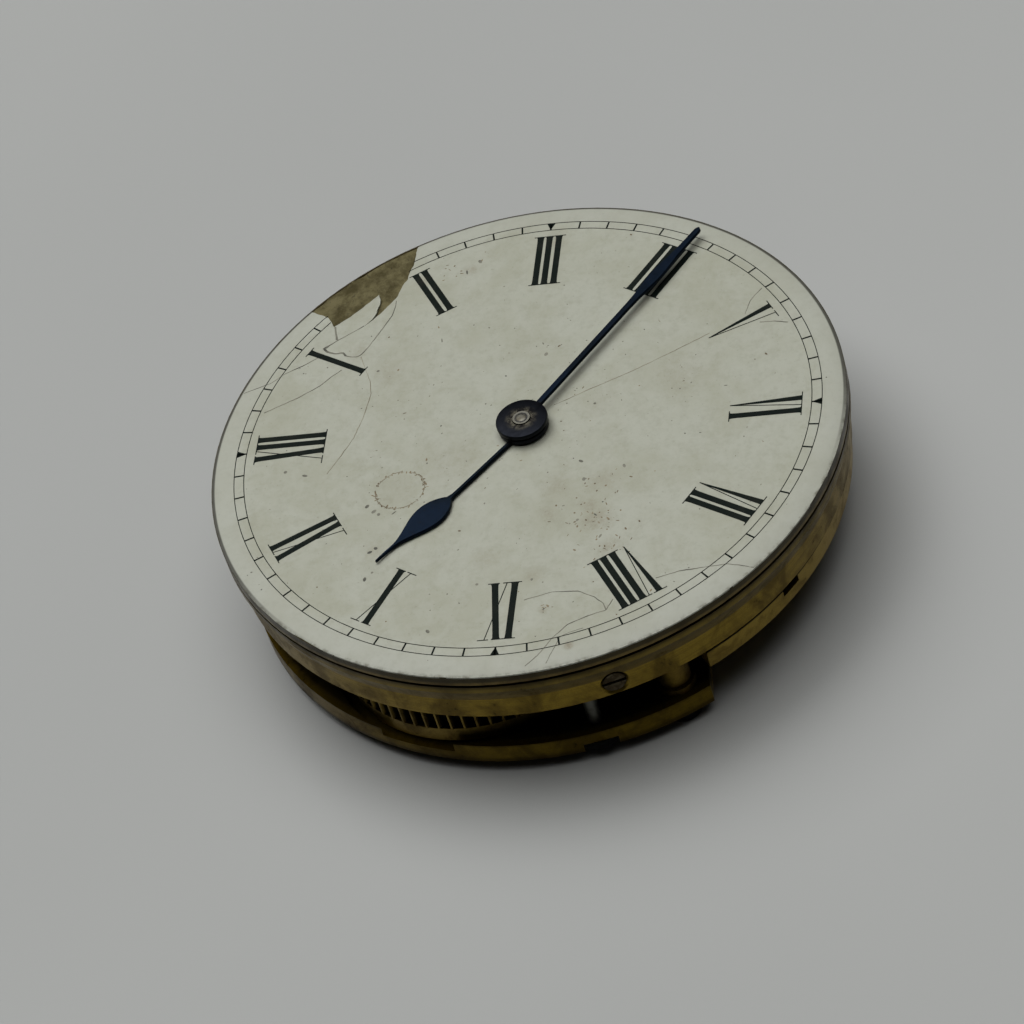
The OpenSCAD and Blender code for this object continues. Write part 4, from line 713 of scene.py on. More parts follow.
# %% Fill the face
RIM_COUNT, HOLE_COUNT, RING_COUNT = 360, 48, 240
HOLE_R, LOOSE_GAP = 1.35 * MM, 0.1 * MM
rim_span = 360.0 + chip_from - chip_to
outline = chip_line + [rim_point(chip_to + rim_span * i / RIM_COUNT) for i in range(1, RIM_COUNT)]
hole_line = [tuple(clock_point(HOLE_R, -360.0 * i / HOLE_COUNT).xy) for i in range(HOLE_COUNT)]
loose = []
for share in (0.98, 0.93, 0.86, 0.78, 0.68, 0.56, 0.43, 0.29, 0.14, 0.0):
    ring_r = enamel_r - (1.0 - share) * FALL_W
    for i in range(RING_COUNT):
        p = tuple(clock_point(ring_r, 360.0 * i / RING_COUNT).xy)
        if in_polygon(p, outline) and far_from(p, chip_line, LOOSE_GAP):
            loose.append(p)
points = [Vector(p) for p in outline + hole_line + loose]
edges = loop_edges(0, len(outline)) + loop_edges(len(outline), HOLE_COUNT)
face_points, _, triangles, source, _, _ = delaunay_2d_cdt(points, edges, [], 0, 1e-9)
face_triangles = []
for tri in triangles:
    centre = sum((face_points[i] for i in tri), Vector((0.0, 0.0))) / 3.0
    if in_polygon(tuple(centre), outline) and centre.length > HOLE_R * 0.995:
        face_triangles.append(tri)
print("face triangles:", len(face_triangles))

# %% Helpers that make pieces
def close_mesh(name, build):
    """A mesh from the finished build, with its faces pointing outwards."""
    bmesh.ops.recalc_face_normals(build, faces=build.faces[:])
    mesh = bpy.data.meshes.new(name)
    build.to_mesh(mesh)
    build.free()
    return mesh


def thick_sheet(name, top_points, low_points, triangles):
    """A closed plate: the triangles on the top points, again on the low points, and walls between."""
    build = bmesh.new()
    top = [build.verts.new(p) for p in top_points]
    low = [build.verts.new(p) for p in low_points]
    for a, b, c in triangles:
        build.faces.new((top[a], top[b], top[c]))
        build.faces.new((low[c], low[b], low[a]))
    number = {vert: i for i, vert in enumerate(top)}
    for edge in [e for e in build.edges if len(e.link_faces) == 1 and e.verts[0] in number]:
        a, b = (number[vert] for vert in edge.verts)
        build.faces.new((top[a], top[b], low[b], low[a]))
    bmesh.ops.delete(build, geom=[v for v in build.verts if not v.link_faces], context="VERTS")
    return close_mesh(name, build)


def add_piece(name, mesh, material, smooth=False):
    """Links a mesh as an object at the origin."""
    mesh.materials.append(material)
    if smooth:
        mesh.shade_smooth()
        mesh.set_sharp_from_angle(angle=math.radians(35.0))
    return into_scene(name, mesh)


print("piece helpers are ready")

# %% Build the enamel piece
BAY_MIDDLE = Vector((14.6 * MM, 12.2 * MM))
BREAK_SPREAD, BREAK_VARIES, EDGE_BAND = 0.07, 0.05, 0.2 * MM
edge_low = face_z - 0.27 * MM
top_points, low_points = [], []
for p, origins in zip(face_points, source):
    top_points.append((p.x, p.y, face_height(p.length)))
    on_edge = p.length > dial_r - EDGE_BAND
    q = p.copy()
    if any(k < len(chip_line) for k in origins) and not on_edge:
        spread = BREAK_SPREAD + BREAK_VARIES * noise.noise(Vector((p.x, p.y, 0.0)) / (0.4 * MM))
        q += (BAY_MIDDLE - p).normalized() * spread * MM
    low_points.append((q.x, q.y, edge_low if on_edge else enamel_low))
mesh = thick_sheet("dial_face", top_points, low_points, face_triangles)
dial_face = add_piece("dial_face", mesh, enamel, smooth=True)
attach(dial_face, "movement_frame")
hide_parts("dial_enamel")
print("enamel faces:", len(mesh.polygons))

# %% [markdown]
# ## The ground in the chip
# The bay that the lost enamel left isn't bare metal: most of it keeps the rough first coat, a little
# below the face. It is filled in the same way as the face, from the chip's line and the rim, with a
# grid of loose points whose heights wander.

# %% Fill the chip with triangles
ARC_COUNT, GRID_COUNT, GRID_STEP = 40, 60, 0.16
GRID_X, GRID_Y, GRID_GAP = 9.5, 7.5, 0.07 * MM
arc_r = dial_r - 0.02 * MM
arc = [tuple(clock_point(arc_r, chip_to + (chip_from - chip_to) * i / ARC_COUNT).xy)
       for i in range(1, ARC_COUNT)]
bay = chip_line + arc
grid = []
for i in range(GRID_COUNT):
    for j in range(GRID_COUNT):
        p = ((GRID_X + GRID_STEP * i) * MM, (GRID_Y + GRID_STEP * j) * MM)
        if in_polygon(p, bay) and far_from(p, bay, GRID_GAP):
            grid.append(p)
points = [Vector(p) for p in bay + grid]
bay_points, _, triangles, _, _, _ = delaunay_2d_cdt(points, loop_edges(0, len(bay)), [], 0, 1e-9)
bay_triangles = []
for a, b, c in triangles:
    centre = (bay_points[a] + bay_points[b] + bay_points[c]) / 3.0
    if in_polygon(tuple(centre), bay):
        bay_triangles.append((a, b, c))
print("ground triangles:", len(bay_triangles))

# %% Build the ground
GROUND_DROP = 0.17
top_points, low_points = [], []
for p in bay_points:
    spot = Vector((p.x, p.y, 0.0))
    rise = 0.05 * noise.noise(spot / (0.9 * MM)) + 0.03 * noise.noise(spot / (0.25 * MM))
    edge_fall = 0.05 * max(0.0, (p.length - 19.0 * MM) / (0.87 * MM))
    top_points.append((p.x, p.y, face_z + (-GROUND_DROP + rise - edge_fall) * MM))
    low_points.append((p.x, p.y, enamel_low))
mesh = thick_sheet("chip_floor", top_points, low_points, bay_triangles)
chip_floor = add_piece("chip_floor", mesh, ground, smooth=True)
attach(chip_floor, "movement_frame")
print("ground faces:", len(mesh.polygons))

# %% [markdown]
# ## Numerals
# The chapters are tall, narrow Roman figures with their tops outward: thick bars, thin hairlines and
# fine serif lines. A font would bring its own shapes, so each stroke is drawn as a polygon in the
# numeral's own frame, u to the right and v outward, in millimetres. Bars flare a little into their
# serifs, as the engraver's pen left them. The ink stands a hundredth of a millimetre proud.

# %% Strokes of the numerals
V_LOW, V_HIGH = 12.83, 17.27
BAR_W, HAIR_W, SERIF_W = 0.4, 0.055, 0.06


def bar_stroke(top_u, low_u=None):
    """A thick stroke between the two ends, with flared feet."""
    low_u = top_u if low_u is None else low_u
    left, right = [], []
    for t, flare in ((0.0, 0.06), (0.03, 0.015), (0.1, 0.0), (0.9, 0.0), (0.97, 0.015), (1.0, 0.06)):
        u = low_u + (top_u - low_u) * t
        v = V_LOW + (V_HIGH - V_LOW) * t
        left.append((u - BAR_W / 2 - flare, v))
        right.append((u + BAR_W / 2 + flare, v))
    return right + left[::-1]


def hair_stroke(top_u, low_u):
    return [(low_u + HAIR_W / 2, V_LOW), (top_u + HAIR_W / 2, V_HIGH), (top_u - HAIR_W / 2, V_HIGH),
            (low_u - HAIR_W / 2, V_LOW)]


def serif(u0, u1, v):
    return [(u0, v - SERIF_W / 2), (u1, v - SERIF_W / 2), (u1, v + SERIF_W / 2), (u0, v + SERIF_W / 2)]


print(f"strokes run from {V_LOW} to {V_HIGH} mm")

# %% Figures of the hours
def bars(*places):
    """Upright bars with one serif line over all of them and one under."""
    ends = (min(places) - 0.42, max(places) + 0.45)
    return [bar_stroke(u) for u in places] + [serif(*ends, V_HIGH), serif(*ends, V_LOW)]


def ten(top_u, low_u, hair_top, hair_low):
    """An X: thick stroke down to the right, hairline down to the left, a serif at each end."""
    return [bar_stroke(top_u, low_u), hair_stroke(hair_top, hair_low),
            serif(top_u - 0.42, top_u + 0.3, V_HIGH), serif(hair_top - 0.25, hair_top + 0.42, V_HIGH),
            serif(hair_low - 0.42, hair_low + 0.25, V_LOW), serif(low_u - 0.3, low_u + 0.42, V_LOW)]


def five(top_u, point_u, hair_top):
    """A V: a thick stroke that tapers to its point, and a hairline."""
    thick = [(point_u + 0.03, V_LOW), (top_u + BAR_W / 2, V_HIGH), (top_u - BAR_W / 2, V_HIGH),
             (point_u - 0.03, V_LOW)]
    return [thick, hair_stroke(hair_top, point_u), serif(top_u - 0.5, top_u + 0.38, V_HIGH),
            serif(hair_top - 0.2, hair_top + 0.42, V_HIGH)]


HOURS = {12: ten(-0.58, -0.25, 0.13, -0.97) + bars(0.46, 1.09), 1: bars(0.02), 2: bars(-0.08, 0.53),
         3: bars(-0.58, 0.01, 0.63), 4: bars(-0.87, -0.25, 0.35, 0.96), 5: five(-0.21, 0.01, 0.56),
         6: five(-0.43, -0.29, 0.17) + bars(0.61), 7: five(-0.67, -0.51, -0.11) + bars(0.31, 0.9),
         8: five(-1.05, -0.79, -0.37) + bars(0.03, 0.63, 1.2), 9: bars(-0.69) + ten(0.05, 0.55, 0.77, -0.2),
         10: ten(-0.42, 0.08, 0.27, -0.6), 11: ten(-0.73, -0.35, -0.07, -1.07) + bars(0.28)}
print("strokes drawn:", sum(len(strokes) for strokes in HOURS.values()))

# %% Lay the numerals on the face
INK_UP, INK_DOWN, STROKE_STEP = 0.012 * MM, 0.03 * MM, 0.0004 * MM
QUARTER_MARK = [(-0.29, 18.52), (0.0, 17.88), (0.29, 18.52)]


def lay_ink(build, outline_uv, clock, lift=0.0):
    """Adds one polygon as a thin closed plate on the face, turned to its clock angle."""
    out = clock_point(1.0, clock)
    right = clock_point(1.0, clock + 90.0)
    upper, lower = [], []
    for u, v in outline_uv:
        p = (right * u + out * v) * MM
        z = face_height(p.length)
        upper.append(build.verts.new((p.x, p.y, z + INK_UP + lift)))
        lower.append(build.verts.new((p.x, p.y, z - INK_DOWN)))
    build.faces.new(upper)
    build.faces.new(lower[::-1])
    for i in range(len(upper)):
        k = (i + 1) % len(upper)
        build.faces.new((upper[k], upper[i], lower[i], lower[k]))


build = bmesh.new()
for hour, strokes in HOURS.items():
    for number, stroke in enumerate(strokes):
        lay_ink(build, stroke, 30.0 * hour, lift=STROKE_STEP * number)
for quarter in (0, 90, 180, 270):
    lay_ink(build, QUARTER_MARK, quarter)
mesh = close_mesh("numerals", build)
numerals = add_piece("numerals", mesh, ink)
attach(numerals, "movement_frame")
print("numeral faces:", len(mesh.polygons))

# %% [markdown]
# ## Minute track
# Two fine circles with a tick at each minute ring the numerals. This repeats sixty times, so it is a
# Geometry Nodes tree: circles swept with a small rectangle, and one bar set on each of sixty points.
# Where the enamel is gone the print is gone too, so the faces over the chip are cut away afterwards.

# %% Helpers that start and end a geometry tree
def start_tree(name, inputs):
    """A geometry tree with named inputs; the first input and output are the geometry."""
    tree = bpy.data.node_groups.new(name, "GeometryNodeTree")
    tree.interface.new_socket("Geometry", in_out="INPUT", socket_type="NodeSocketGeometry")
    tree.interface.new_socket("Geometry", in_out="OUTPUT", socket_type="NodeSocketGeometry")
    for label, kind, value in inputs:
        socket = tree.interface.new_socket(label, in_out="INPUT", socket_type="NodeSocket" + kind)
        if value is not None:
            socket.default_value = value
    return tree, tree.nodes.new("NodeGroupInput").outputs, tree.nodes.new("NodeGroupOutput").inputs


def end_tree(tree, shape, material, out):
    """Makes instances real, gives the shape its material and links it to the tree's output."""
    real = grow(tree, "GeometryNodeRealizeInstances", {0: shape})
    coated = grow(tree, "GeometryNodeSetMaterial", {"Geometry": real.outputs[0], "Material": material})
    tree.links.new(coated.outputs[0], out[0])


print("geometry trees can be built")

# %% Helpers that run a geometry tree
def run_tree(name, source, tree, values, material):
    """Puts the tree on the source object, sets its inputs by identifier and keeps the plain mesh."""
    modifier = source.modifiers.new("grow", "NODES")
    modifier.node_group = tree
    identifiers = {item.name: item.identifier for item in tree.interface.items_tree if item.in_out == "INPUT"}
    for label, value in values.items():
        modifier[identifiers[label]] = value
    modifier[identifiers["Material"]] = material
    bpy.context.view_layer.update()
    evaluated = source.evaluated_get(bpy.context.evaluated_depsgraph_get())
    mesh = bpy.data.meshes.new_from_object(evaluated)
    source.modifiers.remove(modifier)
    bpy.data.objects.remove(source)
    mesh.name = name
    return into_scene(name, mesh)


def seed_object(name):
    """An empty mesh object for a tree that makes everything itself."""
    return into_scene(name, bpy.data.meshes.new(name))


print("geometry trees can be run")

# %% Tree of the minute track: the two circles
track_tree, t_in, t_out = start_tree("minute_track", [
    ("Inner radius", "Float", 0.0), ("Outer radius", "Float", 0.0), ("Line width", "Float", 0.0),
    ("Tick width", "Float", 0.0), ("Thickness", "Float", 0.0), ("Level", "Float", 0.0),
    ("Minutes", "Int", 60), ("Material", "Material", None)])
strip = grow(track_tree, "GeometryNodeCurvePrimitiveQuadrilateral",
             {"Width": t_in["Line width"], "Height": t_in["Thickness"]}).outputs[0]
joined = track_tree.nodes.new("GeometryNodeJoinGeometry")
for label in ("Inner radius", "Outer radius"):
    circle = grow(track_tree, "GeometryNodeCurvePrimitiveCircle", {"Resolution": 360, "Radius": t_in[label]})
    swept = grow(track_tree, "GeometryNodeCurveToMesh", {"Curve": circle.outputs[0], "Profile Curve": strip})
    track_tree.links.new(swept.outputs[0], joined.inputs[0])
print("circles of the track have", len(track_tree.nodes), "nodes")

# %% Tree of the minute track: the ticks
radius_sum = math_node(track_tree, "ADD", t_in["Inner radius"], t_in["Outer radius"])
middle = math_node(track_tree, "MULTIPLY", radius_sum, 0.5)
span = math_node(track_tree, "SUBTRACT", t_in["Outer radius"], t_in["Inner radius"])
ring = grow(track_tree, "GeometryNodeMeshCircle", {"Vertices": t_in["Minutes"], "Radius": middle}).outputs[0]
tick_size = put(track_tree, "CombineXYZ", {0: span, 1: t_in["Tick width"], 2: t_in["Thickness"]}).outputs[0]
tick = grow(track_tree, "GeometryNodeMeshCube", {"Size": tick_size}).outputs[0]
position = track_tree.nodes.new("GeometryNodeInputPosition").outputs[0]
spot = put(track_tree, "SeparateXYZ", {0: position}).outputs
facing = put(track_tree, "CombineXYZ", {2: math_node(track_tree, "ARCTAN2", spot[1], spot[0])}).outputs[0]
ticks = grow(track_tree, "GeometryNodeInstanceOnPoints",
             {"Points": ring, "Instance": tick, "Rotation": facing})
track_tree.links.new(ticks.outputs[0], joined.inputs[0])
lift = put(track_tree, "CombineXYZ", {2: t_in["Level"]}).outputs[0]
real = grow(track_tree, "GeometryNodeRealizeInstances", {0: joined.outputs[0]})
raised = grow(track_tree, "GeometryNodeSetPosition", {"Geometry": real.outputs[0], "Offset": lift})
end_tree(track_tree, raised.outputs[0], t_in["Material"], t_out)
print("track tree has", len(track_tree.nodes), "nodes")

# %% Grow the minute track
minute_track = run_tree("minute_track", seed_object("track_seed"), track_tree, {
    "Inner radius": 17.87 * MM, "Outer radius": 18.5 * MM, "Line width": 0.05 * MM, "Tick width": 0.11 * MM,
    "Thickness": 0.024 * MM, "Level": face_z, "Minutes": 60}, ink)
print("track faces:", len(minute_track.data.polygons))

# %% Cut the print away over the chip
chip_area = chip_line + [tuple(clock_point(dial_r, chip_to).xy), tuple(clock_point(dial_r, chip_from).xy)]


def clear_chip(piece):
    """Removes the faces that lie over the chip and closes the ends."""
    build = bmesh.new()
    build.from_mesh(piece.data)
    gone = [f for f in build.faces if in_polygon(tuple(f.calc_center_median().xy), chip_area)]
    bmesh.ops.delete(build, geom=gone, context="FACES")
    bmesh.ops.holes_fill(build, edges=build.edges[:], sides=8)
    bmesh.ops.recalc_face_normals(build, faces=build.faces[:])
    build.to_mesh(piece.data)
    build.free()
    return len(gone)


print("faces cut from the track:", clear_chip(minute_track))
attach(minute_track, "movement_frame")

# %% [markdown]
# ## Hairline cracks
# Enamel cracks when its copper is bent. Fine lines run from the chip across the numerals, and more
# run up from the lower edge. Each crack is a path of points in millimetres on the face. A Geometry
# Nodes tree resamples the path, lets it tremble a little, and sweeps a very flat strip along it, so
# one tree serves fine cracks, bold ones and the brown scar left by a lost fitting.

# %% Tree of the cracks
crack_tree, t_in, t_out = start_tree("cracks_on_face", [
    ("Width", "Float", 0.0), ("Thickness", "Float", 0.0), ("Tremble", "Float", 0.0), ("Step", "Float", 0.0),
    ("Seed", "Float", 0.0), ("Material", "Material", None)])
line = grow(crack_tree, "GeometryNodeResampleCurve", {"Curve": t_in[0], "Length": t_in["Step"]},
            mode="LENGTH").outputs[0]
wobble = put(crack_tree, "TexNoise", {"W": t_in["Seed"], "Scale": 2600.0, "Detail": 2.0},
             noise_dimensions="4D").outputs["Color"]
centred = put(crack_tree, "VectorMath", {0: wobble, 1: (0.5, 0.5, 0.5)}, operation="SUBTRACT").outputs[0]
level = flatten(crack_tree, centred)
moved = put(crack_tree, "VectorMath", {0: level, "Scale": t_in["Tremble"]}, operation="SCALE").outputs[0]
shaken = grow(crack_tree, "GeometryNodeSetPosition", {"Geometry": line, "Offset": moved})
swelling = put(crack_tree, "TexNoise", {"W": t_in["Seed"], "Scale": 900.0, "Detail": 3.0},
               noise_dimensions="4D").outputs["Fac"]
swell = put(crack_tree, "MapRange", {"Value": swelling, "From Min": 0.3, "From Max": 0.7, "To Min": 0.45,
                                     "To Max": 1.4}).outputs["Result"]
section = grow(crack_tree, "GeometryNodeCurvePrimitiveQuadrilateral",
               {"Width": t_in["Width"], "Height": t_in["Thickness"]}).outputs[0]
swept = grow(crack_tree, "GeometryNodeCurveToMesh", {"Curve": shaken.outputs[0], "Profile Curve": section,
                                                     "Scale": swell, "Fill Caps": True})
end_tree(crack_tree, swept.outputs[0], t_in["Material"], t_out)
print("crack tree has", len(crack_tree.nodes), "nodes")

# %% Paths of the cracks
FITTING_X, FITTING_Y, FITTING_R = -4.34, 7.42, 1.55
bold_cracks = [[(8.0, 12.46), (8.31, 12.69), (8.29, 13.22), (8.54, 13.79), (8.85, 14.03), (9.08, 13.73)],
               [(10.79, 13.55), (10.22, 13.41), (9.56, 13.26)]]
fine_cracks = [[(12.66, 9.72), (12.28, 9.68), (11.29, 9.82), (10.25, 10.29), (9.22, 10.76), (8.46, 11.13),
                (7.96, 11.46), (7.81, 11.71), (7.86, 12.11), (8.0, 12.46)],
               [(9.08, 13.73), (9.47, 13.25), (10.0, 12.45), (10.6, 11.6)],
               [(8.07, 14.32), (7.47, 15.23), (6.9, 16.35), (6.19, 17.11), (5.78, 18.11), (5.54, 18.9)],
               [(6.75, 12.56), (6.13, 13.27), (5.49, 13.84), (4.59, 15.17), (4.03, 16.27), (3.53, 17.25)],
               [(8.25, -13.29), (9.38, -13.54), (10.05, -13.95), (10.45, -14.24)],
               [(7.4, -14.28), (7.37, -15.17), (7.16, -16.05)],
               [(-14.83, -6.78), (-15.66, -6.43), (-15.95, -5.49), (-16.52, -4.23), (-17.52, -3.36),
                (-18.76, -2.64), (-19.5, -1.9)],
               [(-15.66, -6.43), (-15.08, -6.2), (-14.55, -5.62), (-13.96, -4.6), (-13.87, -3.02),
                (-14.32, -1.37)],
               [(-16.93, -5.16), (-17.16, -4.4), (-17.49, -3.83), (-18.31, -3.55), (-19.4, -3.15)],
               [(-13.44, -9.25), (-13.04, -10.6), (-12.89, -12.14), (-12.8, -13.45), (-13.13, -15.01)]]
faint_cracks = [[(7.77, 11.44), (6.73, 11.04), (5.51, 10.56), (4.32, 10.34), (2.24, 10.6), (0.47, 11.02),
                 (-1.01, 11.67), (-2.39, 12.33)],
                [(1.8, -1.7), (2.28, -2.67), (2.91, -3.88), (4.14, -6.43), (5.42, -8.74), (6.86, -11.17)]]
scars = []
for start, stop in ((95, 230), (240, 345), (0, 75)):
    turns = [math.radians(a) for a in range(start, stop, 12)]
    scars.append([(FITTING_X + FITTING_R * math.cos(a), FITTING_Y + FITTING_R * math.sin(a)) for a in turns])
print("cracks:", len(bold_cracks), "bold,", len(fine_cracks), "fine,", len(faint_cracks), "faint")

# %% Grow cracks along the paths
PATH_STEP, PATH_LIFT = 0.4, 0.002 * MM


def paths_object(name, paths):
    """Curves through points given in millimetres, laid on the face, densely enough to follow its edge."""
    data = bpy.data.curves.new(name, "CURVE")
    data.dimensions = "3D"
    data.twist_mode = "Z_UP"
    for path in paths:
        dense = []
        for (x0, y0), (x1, y1) in zip(path, path[1:]):
            count = max(1, round(math.hypot(x1 - x0, y1 - y0) / PATH_STEP))
            dense += [(x0 + (x1 - x0) * i / count, y0 + (y1 - y0) * i / count) for i in range(count)]
        dense.append(path[-1])
        spline = data.splines.new("POLY")
        spline.points.add(len(dense) - 1)
        for point, (x, y) in zip(spline.points, dense):
            r = min(math.hypot(x, y) * MM, enamel_r)
            point.co = (x * MM, y * MM, face_height(r) + PATH_LIFT, 1.0)
    return into_scene(name, data)


for name, paths, width, material in (("cracks_bold", bold_cracks, 0.13, crack_dirt),
                                     ("cracks_fine", fine_cracks, 0.055, crack_dirt),
                                     ("cracks_faint", faint_cracks, 0.045, scar_brown),
                                     ("fitting_scar", scars, 0.06, scar_brown)):
    piece = run_tree(name, paths_object(name + "_paths", paths), crack_tree, {
        "Width": width * MM, "Thickness": 0.012 * MM, "Tremble": 0.09 * MM, "Step": 0.12 * MM,
        "Seed": 7.0}, material)
    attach(piece, "movement_frame")
    print(name, len(piece.data.polygons), "faces")

# %% [markdown]
# ## Specks and stains that stand on the face
# Dust, rust and old glue have left small dark specks and brown dashes. They are thickest near the
# lower middle, where a stain runs, and along the ring of the lost fitting. Points for dust and rust are
# drawn with a fixed seed, and the boldest specks are listed one by one where the photo shows them. A Geometry
# Nodes tree sets a flat pebble on each point, turned and sized at random.

# %% Tree of the specks
speck_tree, t_in, t_out = start_tree("face_specks", [
    ("Size", "Float", 0.0), ("Stretch", "Float", 1.0), ("Flatness", "Float", 0.1), ("Seed", "Int", 0),
    ("Material", "Material", None)])
pebble = grow(speck_tree, "GeometryNodeMeshIcoSphere", {"Radius": 0.5, "Subdivisions": 2}).outputs[0]
long_side = math_node(speck_tree, "MULTIPLY", t_in["Size"], t_in["Stretch"])
thick = math_node(speck_tree, "MULTIPLY", t_in["Size"], t_in["Flatness"])
least = put(speck_tree, "CombineXYZ", {0: math_node(speck_tree, "MULTIPLY", long_side, 0.3),
                                       1: math_node(speck_tree, "MULTIPLY", t_in["Size"], 0.25),
                                       2: thick}).outputs[0]
most = put(speck_tree, "CombineXYZ", {0: long_side, 1: t_in["Size"], 2: thick}).outputs[0]
sizes = grow(speck_tree, "FunctionNodeRandomValue", {"Min": least, "Max": most, "Seed": t_in["Seed"]},
             data_type="FLOAT_VECTOR").outputs["Value"]
turns = grow(speck_tree, "FunctionNodeRandomValue", {"Max": (0.0, 0.0, 6.2832), "Seed": t_in["Seed"]},
             data_type="FLOAT_VECTOR").outputs["Value"]
pebbles = grow(speck_tree, "GeometryNodeInstanceOnPoints", {"Points": t_in[0], "Instance": pebble,
                                                            "Rotation": turns, "Scale": sizes})
end_tree(speck_tree, pebbles.outputs[0], t_in["Material"], t_out)
print("speck tree has", len(speck_tree.nodes), "nodes")

# %% Choose the points of the specks
dice = random.Random(1857)


def around(x, y, spread, count):
    """Points scattered about a place."""
    return [(dice.gauss(x, spread), dice.gauss(y, spread)) for _ in range(count)]


dust = around(0.0, 0.0, 9.5, 230)
dust += [(-4.76, -4.29), (-5.9, -4.33), (-7.17, -3.01), (-8.42, -3.6), (2.2, -9.6), (13.0, 2.6), (4.6, 6.3),
         (9.3, 3.2)]
rust = around(-8.3, -5.0, 1.2, 34) + around(-10.4, -6.3, 0.8, 20) + around(-6.6, -4.6, 1.4, 18)
rust += around(14.6, 6.4, 0.5, 9) + around(0.0, 0.0, 9.0, 40) + around(-15.2, -2.7, 0.25, 8)
for i in range(70):
    a = dice.uniform(0.0, 2.0 * math.pi)
    rust.append((FITTING_X + dice.gauss(FITTING_R, 0.07) * math.cos(a),
                 FITTING_Y + dice.gauss(FITTING_R, 0.07) * math.sin(a)))
bold = [(-11.07, 8.35), (14.68, 5.23), (-15.16, -2.64), (-7.86, -5.13), (-5.5, 9.36), (7.38, -0.49),
        (-9.09, 8.37), (-3.26, -3.85), (-6.25, 8.54), (-16.21, 4.3), (-12.75, 1.67), (-9.38, 8.71),
        (-4.81, -4.16), (6.33, 10.13), (15.57, 4.45), (-8.17, -4.05), (1.61, -4.3), (6.39, -0.77),
        (-6.23, 7.57), (-5.98, 8.87), (-1.91, 15.07), (-2.37, 13.76), (8.56, 6.21), (2.1, -12.46),
        (-9.65, -5.58), (-12.72, -1.68), (-11.58, 8.75), (-3.98, -6.59)]
print("points:", len(dust), "dust,", len(rust), "rust,", len(bold), "bold")

# %% Grow the specks
SPECKS_FROM, SPECKS_TO = 2.0, 19.4


def points_object(name, places):
    """An object whose loose vertices lie on the face at the given millimetres, none over the chip."""
    kept = [(x, y) for x, y in places if SPECKS_FROM < math.hypot(x, y) < SPECKS_TO
            and not in_polygon((x * MM, y * MM), chip_area)]
    mesh = bpy.data.meshes.new(name)
    mesh.from_pydata([(x * MM, y * MM, face_height(math.hypot(x, y) * MM)) for x, y in kept], [], [])
    return into_scene(name, mesh)


for name, places, size, stretch, seed, material in (("dust_specks", dust, 0.11, 1.4, 3, crack_dirt),
                                                    ("rust_specks", rust, 0.12, 2.2, 8, rust_brown),
                                                    ("bold_specks", bold, 0.24, 1.7, 5, crack_dirt)):
    piece = run_tree(name, points_object(name + "_points", places), speck_tree, {
        "Size": size * MM, "Stretch": stretch, "Flatness": 0.1, "Seed": seed}, material)
    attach(piece, "movement_frame")
    print(name, len(piece.data.polygons), "faces")

# %% [markdown]
# ## Hands
# The minute hand is a slim "poker" that swells a little; the hour hand is a spade with a long point.
# Both are cut from thin blued steel with chamfered edges and riveted to round bosses. The outline is
# a width that changes along the hand, so each hand is lofted from cross-sections of that width.

# %% Width and bend of the hands
MINUTE_W, MINUTE_SWELL, SWELL_AT, SWELL_SPREAD = 0.46, 0.4, 14.2, 1.7
MINUTE_END, MINUTE_ROUND = 18.8, 0.3
LEAF_FROM, LEAF_WIDEST, LEAF_TO, LEAF_W = 6.95, 8.65, 11.85, 1.95
STEM_W, POINT_FROM, POINT_TAPER = 0.3, 11.0, 0.09
STEM_ASIDE, BEND_TURN, BEND_FROM, BEND_LENGTH = -0.22, 0.36, 6.5, 6.0


def minute_width(r):
    """A slim blade that swells towards its outer third and has a blunt, rounded end."""
    swell = MINUTE_W + MINUTE_SWELL * math.exp(-(((r - SWELL_AT) / SWELL_SPREAD) ** 2))
    past = max(0.0, (r - (MINUTE_END - MINUTE_ROUND)) / MINUTE_ROUND)
    return swell * math.sqrt(max(0.06, 1.0 - past * past))


def hour_width(r):
    """A thin stem, a leaf that is round towards the boss, and a long point."""
    stem = STEM_W if r < POINT_FROM else STEM_W - POINT_TAPER * (r - POINT_FROM)
    leaf = 0.0
    if LEAF_FROM < r <= LEAF_WIDEST:
        leaf = math.sin(0.5 * math.pi * ((r - LEAF_FROM) / (LEAF_WIDEST - LEAF_FROM)) ** 0.8)
    elif LEAF_WIDEST < r < LEAF_TO:
        leaf = math.cos(0.5 * math.pi * (r - LEAF_WIDEST) / (LEAF_TO - LEAF_WIDEST)) ** 2
    return stem + (LEAF_W - stem) * leaf


def hour_bend(r):
    """The hand has been knocked: its stem lies a little to one side and its point to the other."""
    return STEM_ASIDE + BEND_TURN * min(1.0, max(0.0, (r - BEND_FROM) / BEND_LENGTH))


def no_bend(r):
    """The minute hand is straight all along."""
    return 0.0


print(f"leaf of the hour hand is {hour_width(LEAF_WIDEST):.2f} mm wide")

# %% Loft a blade
BLADE_T, BLADE_CHAMFER = 0.18 * MM, 0.06


def blade(build, clock, stations, width, bend, low):
    """Lofts chamfered cross-sections along a clock angle and closes both ends."""
    out = clock_point(1.0, clock)
    right = clock_point(1.0, clock + 90.0)
    rings = []
    for r in stations:
        half_w = width(r) / 2.0
        cut = min(BLADE_CHAMFER, 0.45 * half_w)
        shape = [(-half_w, 0.0), (half_w, 0.0), (half_w, 0.45), (half_w - cut, 1.0), (cut - half_w, 1.0),
                 (-half_w, 0.45)]
        ring = []
        for u, h in shape:
            lift = Vector((0, 0, low + BLADE_T * h))
            ring.append(build.verts.new((out * r + right * (u + bend(r))) * MM + lift))
        rings.append(ring)
    for here, after in zip(rings, rings[1:]):
        for j in range(len(here)):
            k = (j + 1) % len(here)
            build.faces.new((here[j], here[k], after[k], after[j]))
    build.faces.new(rings[0])
    build.faces.new(rings[-1])


